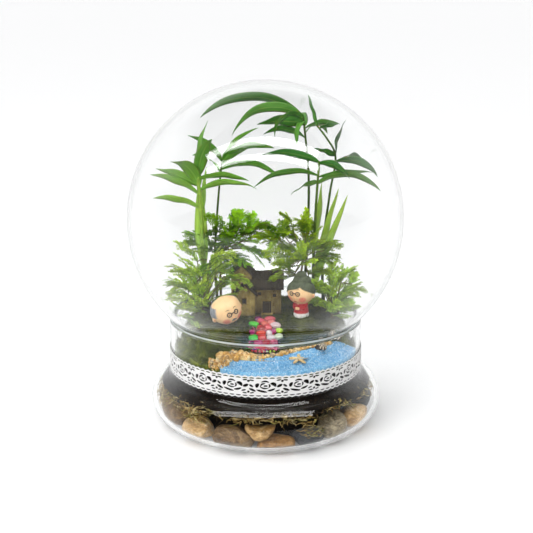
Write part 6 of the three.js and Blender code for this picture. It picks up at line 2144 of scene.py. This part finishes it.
class TERRARIUM_OT_spikemoss(bpy.types.Operator):
    """Grow the four clumps of spikemoss"""

    bl_idname = "terrarium.spikemoss"
    bl_label = "Spikemoss"

    def execute(self, context):
        finishes = [spikemoss_green(), palm_stem_green()]
        for name in SPIKEMOSS_FRONDS:
            surface = make_spikemoss(name, context.scene.terrarium_garden.leaf_scale)
            make_piece(name + "_clump", surface, finishes, [name], smooth=False)
        return {"FINISHED"}


class TERRARIUM_OT_stage(bpy.types.Operator):
    """Set the pale floor, the soft lamps and the camera"""

    bl_idname = "terrarium.stage"
    bl_label = "Stage"

    def execute(self, context):
        stage = context.scene.terrarium_stage
        make_floor(stage.floor_radius, tuple(stage.floor_tone))
        make_sky()
        make_lamps(stage.strip_light)
        make_camera(stage.lens)
        return {"FINISHED"}


def make_floor(radius, tone):
    """A wide flat disc just under the base, of smooth pale card, most of it behind the object."""
    mesh = bpy.data.meshes.new("floor")
    plan = around(np.arange(96) * 3.75, radius) + (0, 0.8 * radius)
    mesh.from_pydata([(x, y, -0.0002) for x, y in plan], [], [tuple(range(96))])
    floor = added("floor", mesh)
    finish = Finish("pale_floor", Base_Color=(*tone, 1), Roughness=0.55, Specular_IOR_Level=0.25)
    finish.bump(finish.noise(4.0, 4.0), 0.03, 0.3)
    mesh.materials.append(finish.material)
    floor.visible_glossy = False


def make_sky():
    """A white backdrop behind and low down, and a dark room in front and overhead, so that the glass mirrors
    little besides the strips."""
    world = bpy.context.scene.world or bpy.data.worlds.new("sky")
    bpy.context.scene.world = world
    world.use_nodes = True
    nodes, links = world.node_tree.nodes, world.node_tree.links
    place = nodes.new("ShaderNodeTexCoord")
    split = nodes.new("ShaderNodeSeparateXYZ")
    links.new(place.outputs["Generated"], split.inputs["Vector"])
    both = nodes.new("ShaderNodeMath")
    both.operation = "MULTIPLY"
    eased = ("Y", (-0.25, 0.35, 0.05, 1.0)), ("Z", (0.45, 0.8, 1.0, 0.1))
    for factor, (axis, limits) in zip(both.inputs, eased):
        ramp = nodes.new("ShaderNodeMapRange")
        ramp.interpolation_type = "SMOOTHSTEP"
        for label, value in zip(("From Min", "From Max", "To Min", "To Max"), limits):
            ramp.inputs[label].default_value = value
        links.new(split.outputs[axis], ramp.inputs["Value"])
        links.new(ramp.outputs["Result"], factor)
    background = nodes["Background"]
    background.inputs["Color"].default_value = (0.99, 0.995, 1, 1)
    links.new(both.outputs["Value"], background.inputs["Strength"])


def area_lamp(name, location, target, size, power, glossy=True, diffuse=True):
    """A rectangular lamp aimed at a point. It may be left out of reflections or of matt light."""
    data = bpy.data.lights.new(name, "AREA")
    data.shape = "RECTANGLE"
    data.size, data.size_y = size
    data.energy = power
    lamp = added(name, data)
    lamp.location = location
    lamp.rotation_euler = aim(location, target)
    lamp.visible_glossy = lamp.visible_transmission = glossy
    lamp.visible_diffuse = diffuse


def aim(location, target):
    """Turns that point an object's -Z axis at the target, with its X axis level."""
    dx, dy, dz = (t - p for t, p in zip(target, location))
    flat = math.hypot(dx, dy)
    return (math.atan2(flat, -dz), 0.0, math.atan2(-dx, dy) if flat > 1e-9 else 0.0)


def make_lamps(strip_radiance):
    """Two long strips overhead, which the glass mirrors, and a broad high light and two soft panels that only
    light matt surfaces."""
    for name, y, width, length in (("strip_back", -0.275, 0.13, 1.72), ("strip_front", -0.575, 0.12, 2.05)):
        power = strip_radiance * math.pi * width * length
        area_lamp(name, (-0.07, y, 1.19), (-0.07, y, 0.0), (length, width), power, diffuse=False)
    area_lamp("panel_left", (-1.1, -1.1, 0.9), (0.0, 0.0, 0.12), (0.9, 0.9), 10.0, glossy=False)
    area_lamp("panel_front", (0.5, -1.6, 0.6), (0.0, 0.0, 0.1), (0.9, 0.6), 8.0, glossy=False)
    data = bpy.data.lights.new("high_light", "SUN")
    data.energy = 2.7
    data.angle = math.radians(80)
    lamp = added("high_light", data)
    lamp.rotation_euler = aim((-0.5, -0.55, 1.6), (0.0, 0.0, 0.0))
    lamp.visible_glossy = lamp.visible_transmission = False


# Where the camera looks and how far away it stands, in metres, and how steeply it looks down, in degrees
CAMERA_TARGET = (0.0007, 0.0, 0.10475)
CAMERA_DISTANCE = 0.738
CAMERA_PITCH = 15.34


def make_camera(lens):
    """The photograph's view: from the front, a little above, with a long lens."""
    data = bpy.data.cameras.new("camera")
    data.sensor_width = 36.0
    data.lens = lens
    camera = added("camera", data)
    x, _, z = CAMERA_TARGET
    pitch = math.radians(CAMERA_PITCH)
    camera.location = (x, -CAMERA_DISTANCE * math.cos(pitch), z + CAMERA_DISTANCE * math.sin(pitch))
    camera.rotation_euler = aim(camera.location, CAMERA_TARGET)
    bpy.context.scene.camera = camera
    bpy.context.scene.view_settings.view_transform = "Standard"


class TERRARIUM_PT_sidebar(bpy.types.Panel):
    """Lists the terrarium's settings and pieces"""

    bl_label = "Terrarium"
    bl_space_type = "VIEW_3D"
    bl_region_type = "UI"
    bl_category = "Terrarium"

    def draw(self, context):
        scene = context.scene
        for settings in (scene.terrarium_vessel, scene.terrarium_garden, scene.terrarium_stage):
            box = self.layout.box()
            for label in settings.__annotations__:
                box.prop(settings, label)
        for operator in OPERATORS:
            self.layout.operator(operator.bl_idname)


SETTINGS = {
    "terrarium_vessel": VesselSettings,
    "terrarium_garden": GardenSettings,
    "terrarium_stage": StageSettings,
}
OPERATORS = [
    TERRARIUM_OT_glass_base, TERRARIUM_OT_globe, TERRARIUM_OT_lace, TERRARIUM_OT_pebbles, TERRARIUM_OT_fill,
    TERRARIUM_OT_ground, TERRARIUM_OT_beach_finds, TERRARIUM_OT_gem_path, TERRARIUM_OT_farmhouse,
    TERRARIUM_OT_figurines, TERRARIUM_OT_palms, TERRARIUM_OT_spikemoss, TERRARIUM_OT_stage,
]
CLASSES = [*SETTINGS.values(), *OPERATORS, TERRARIUM_PT_sidebar]


def register():
    """Adds the settings, the operators and the panel to Blender."""
    for cls in CLASSES:
        bpy.utils.register_class(cls)
    for name, cls in SETTINGS.items():
        setattr(bpy.types.Scene, name, bpy.props.PointerProperty(type=cls))


def unregister():
    """Takes them out again."""
    for name in SETTINGS:
        delattr(bpy.types.Scene, name)
    for cls in reversed(CLASSES):
        bpy.utils.unregister_class(cls)


def main():
    """Builds every piece in order."""
    register()
    for operator in OPERATORS:
        group, name = operator.bl_idname.split(".")
        getattr(getattr(bpy.ops, group), name)()


if __name__ == "__main__":
    main()
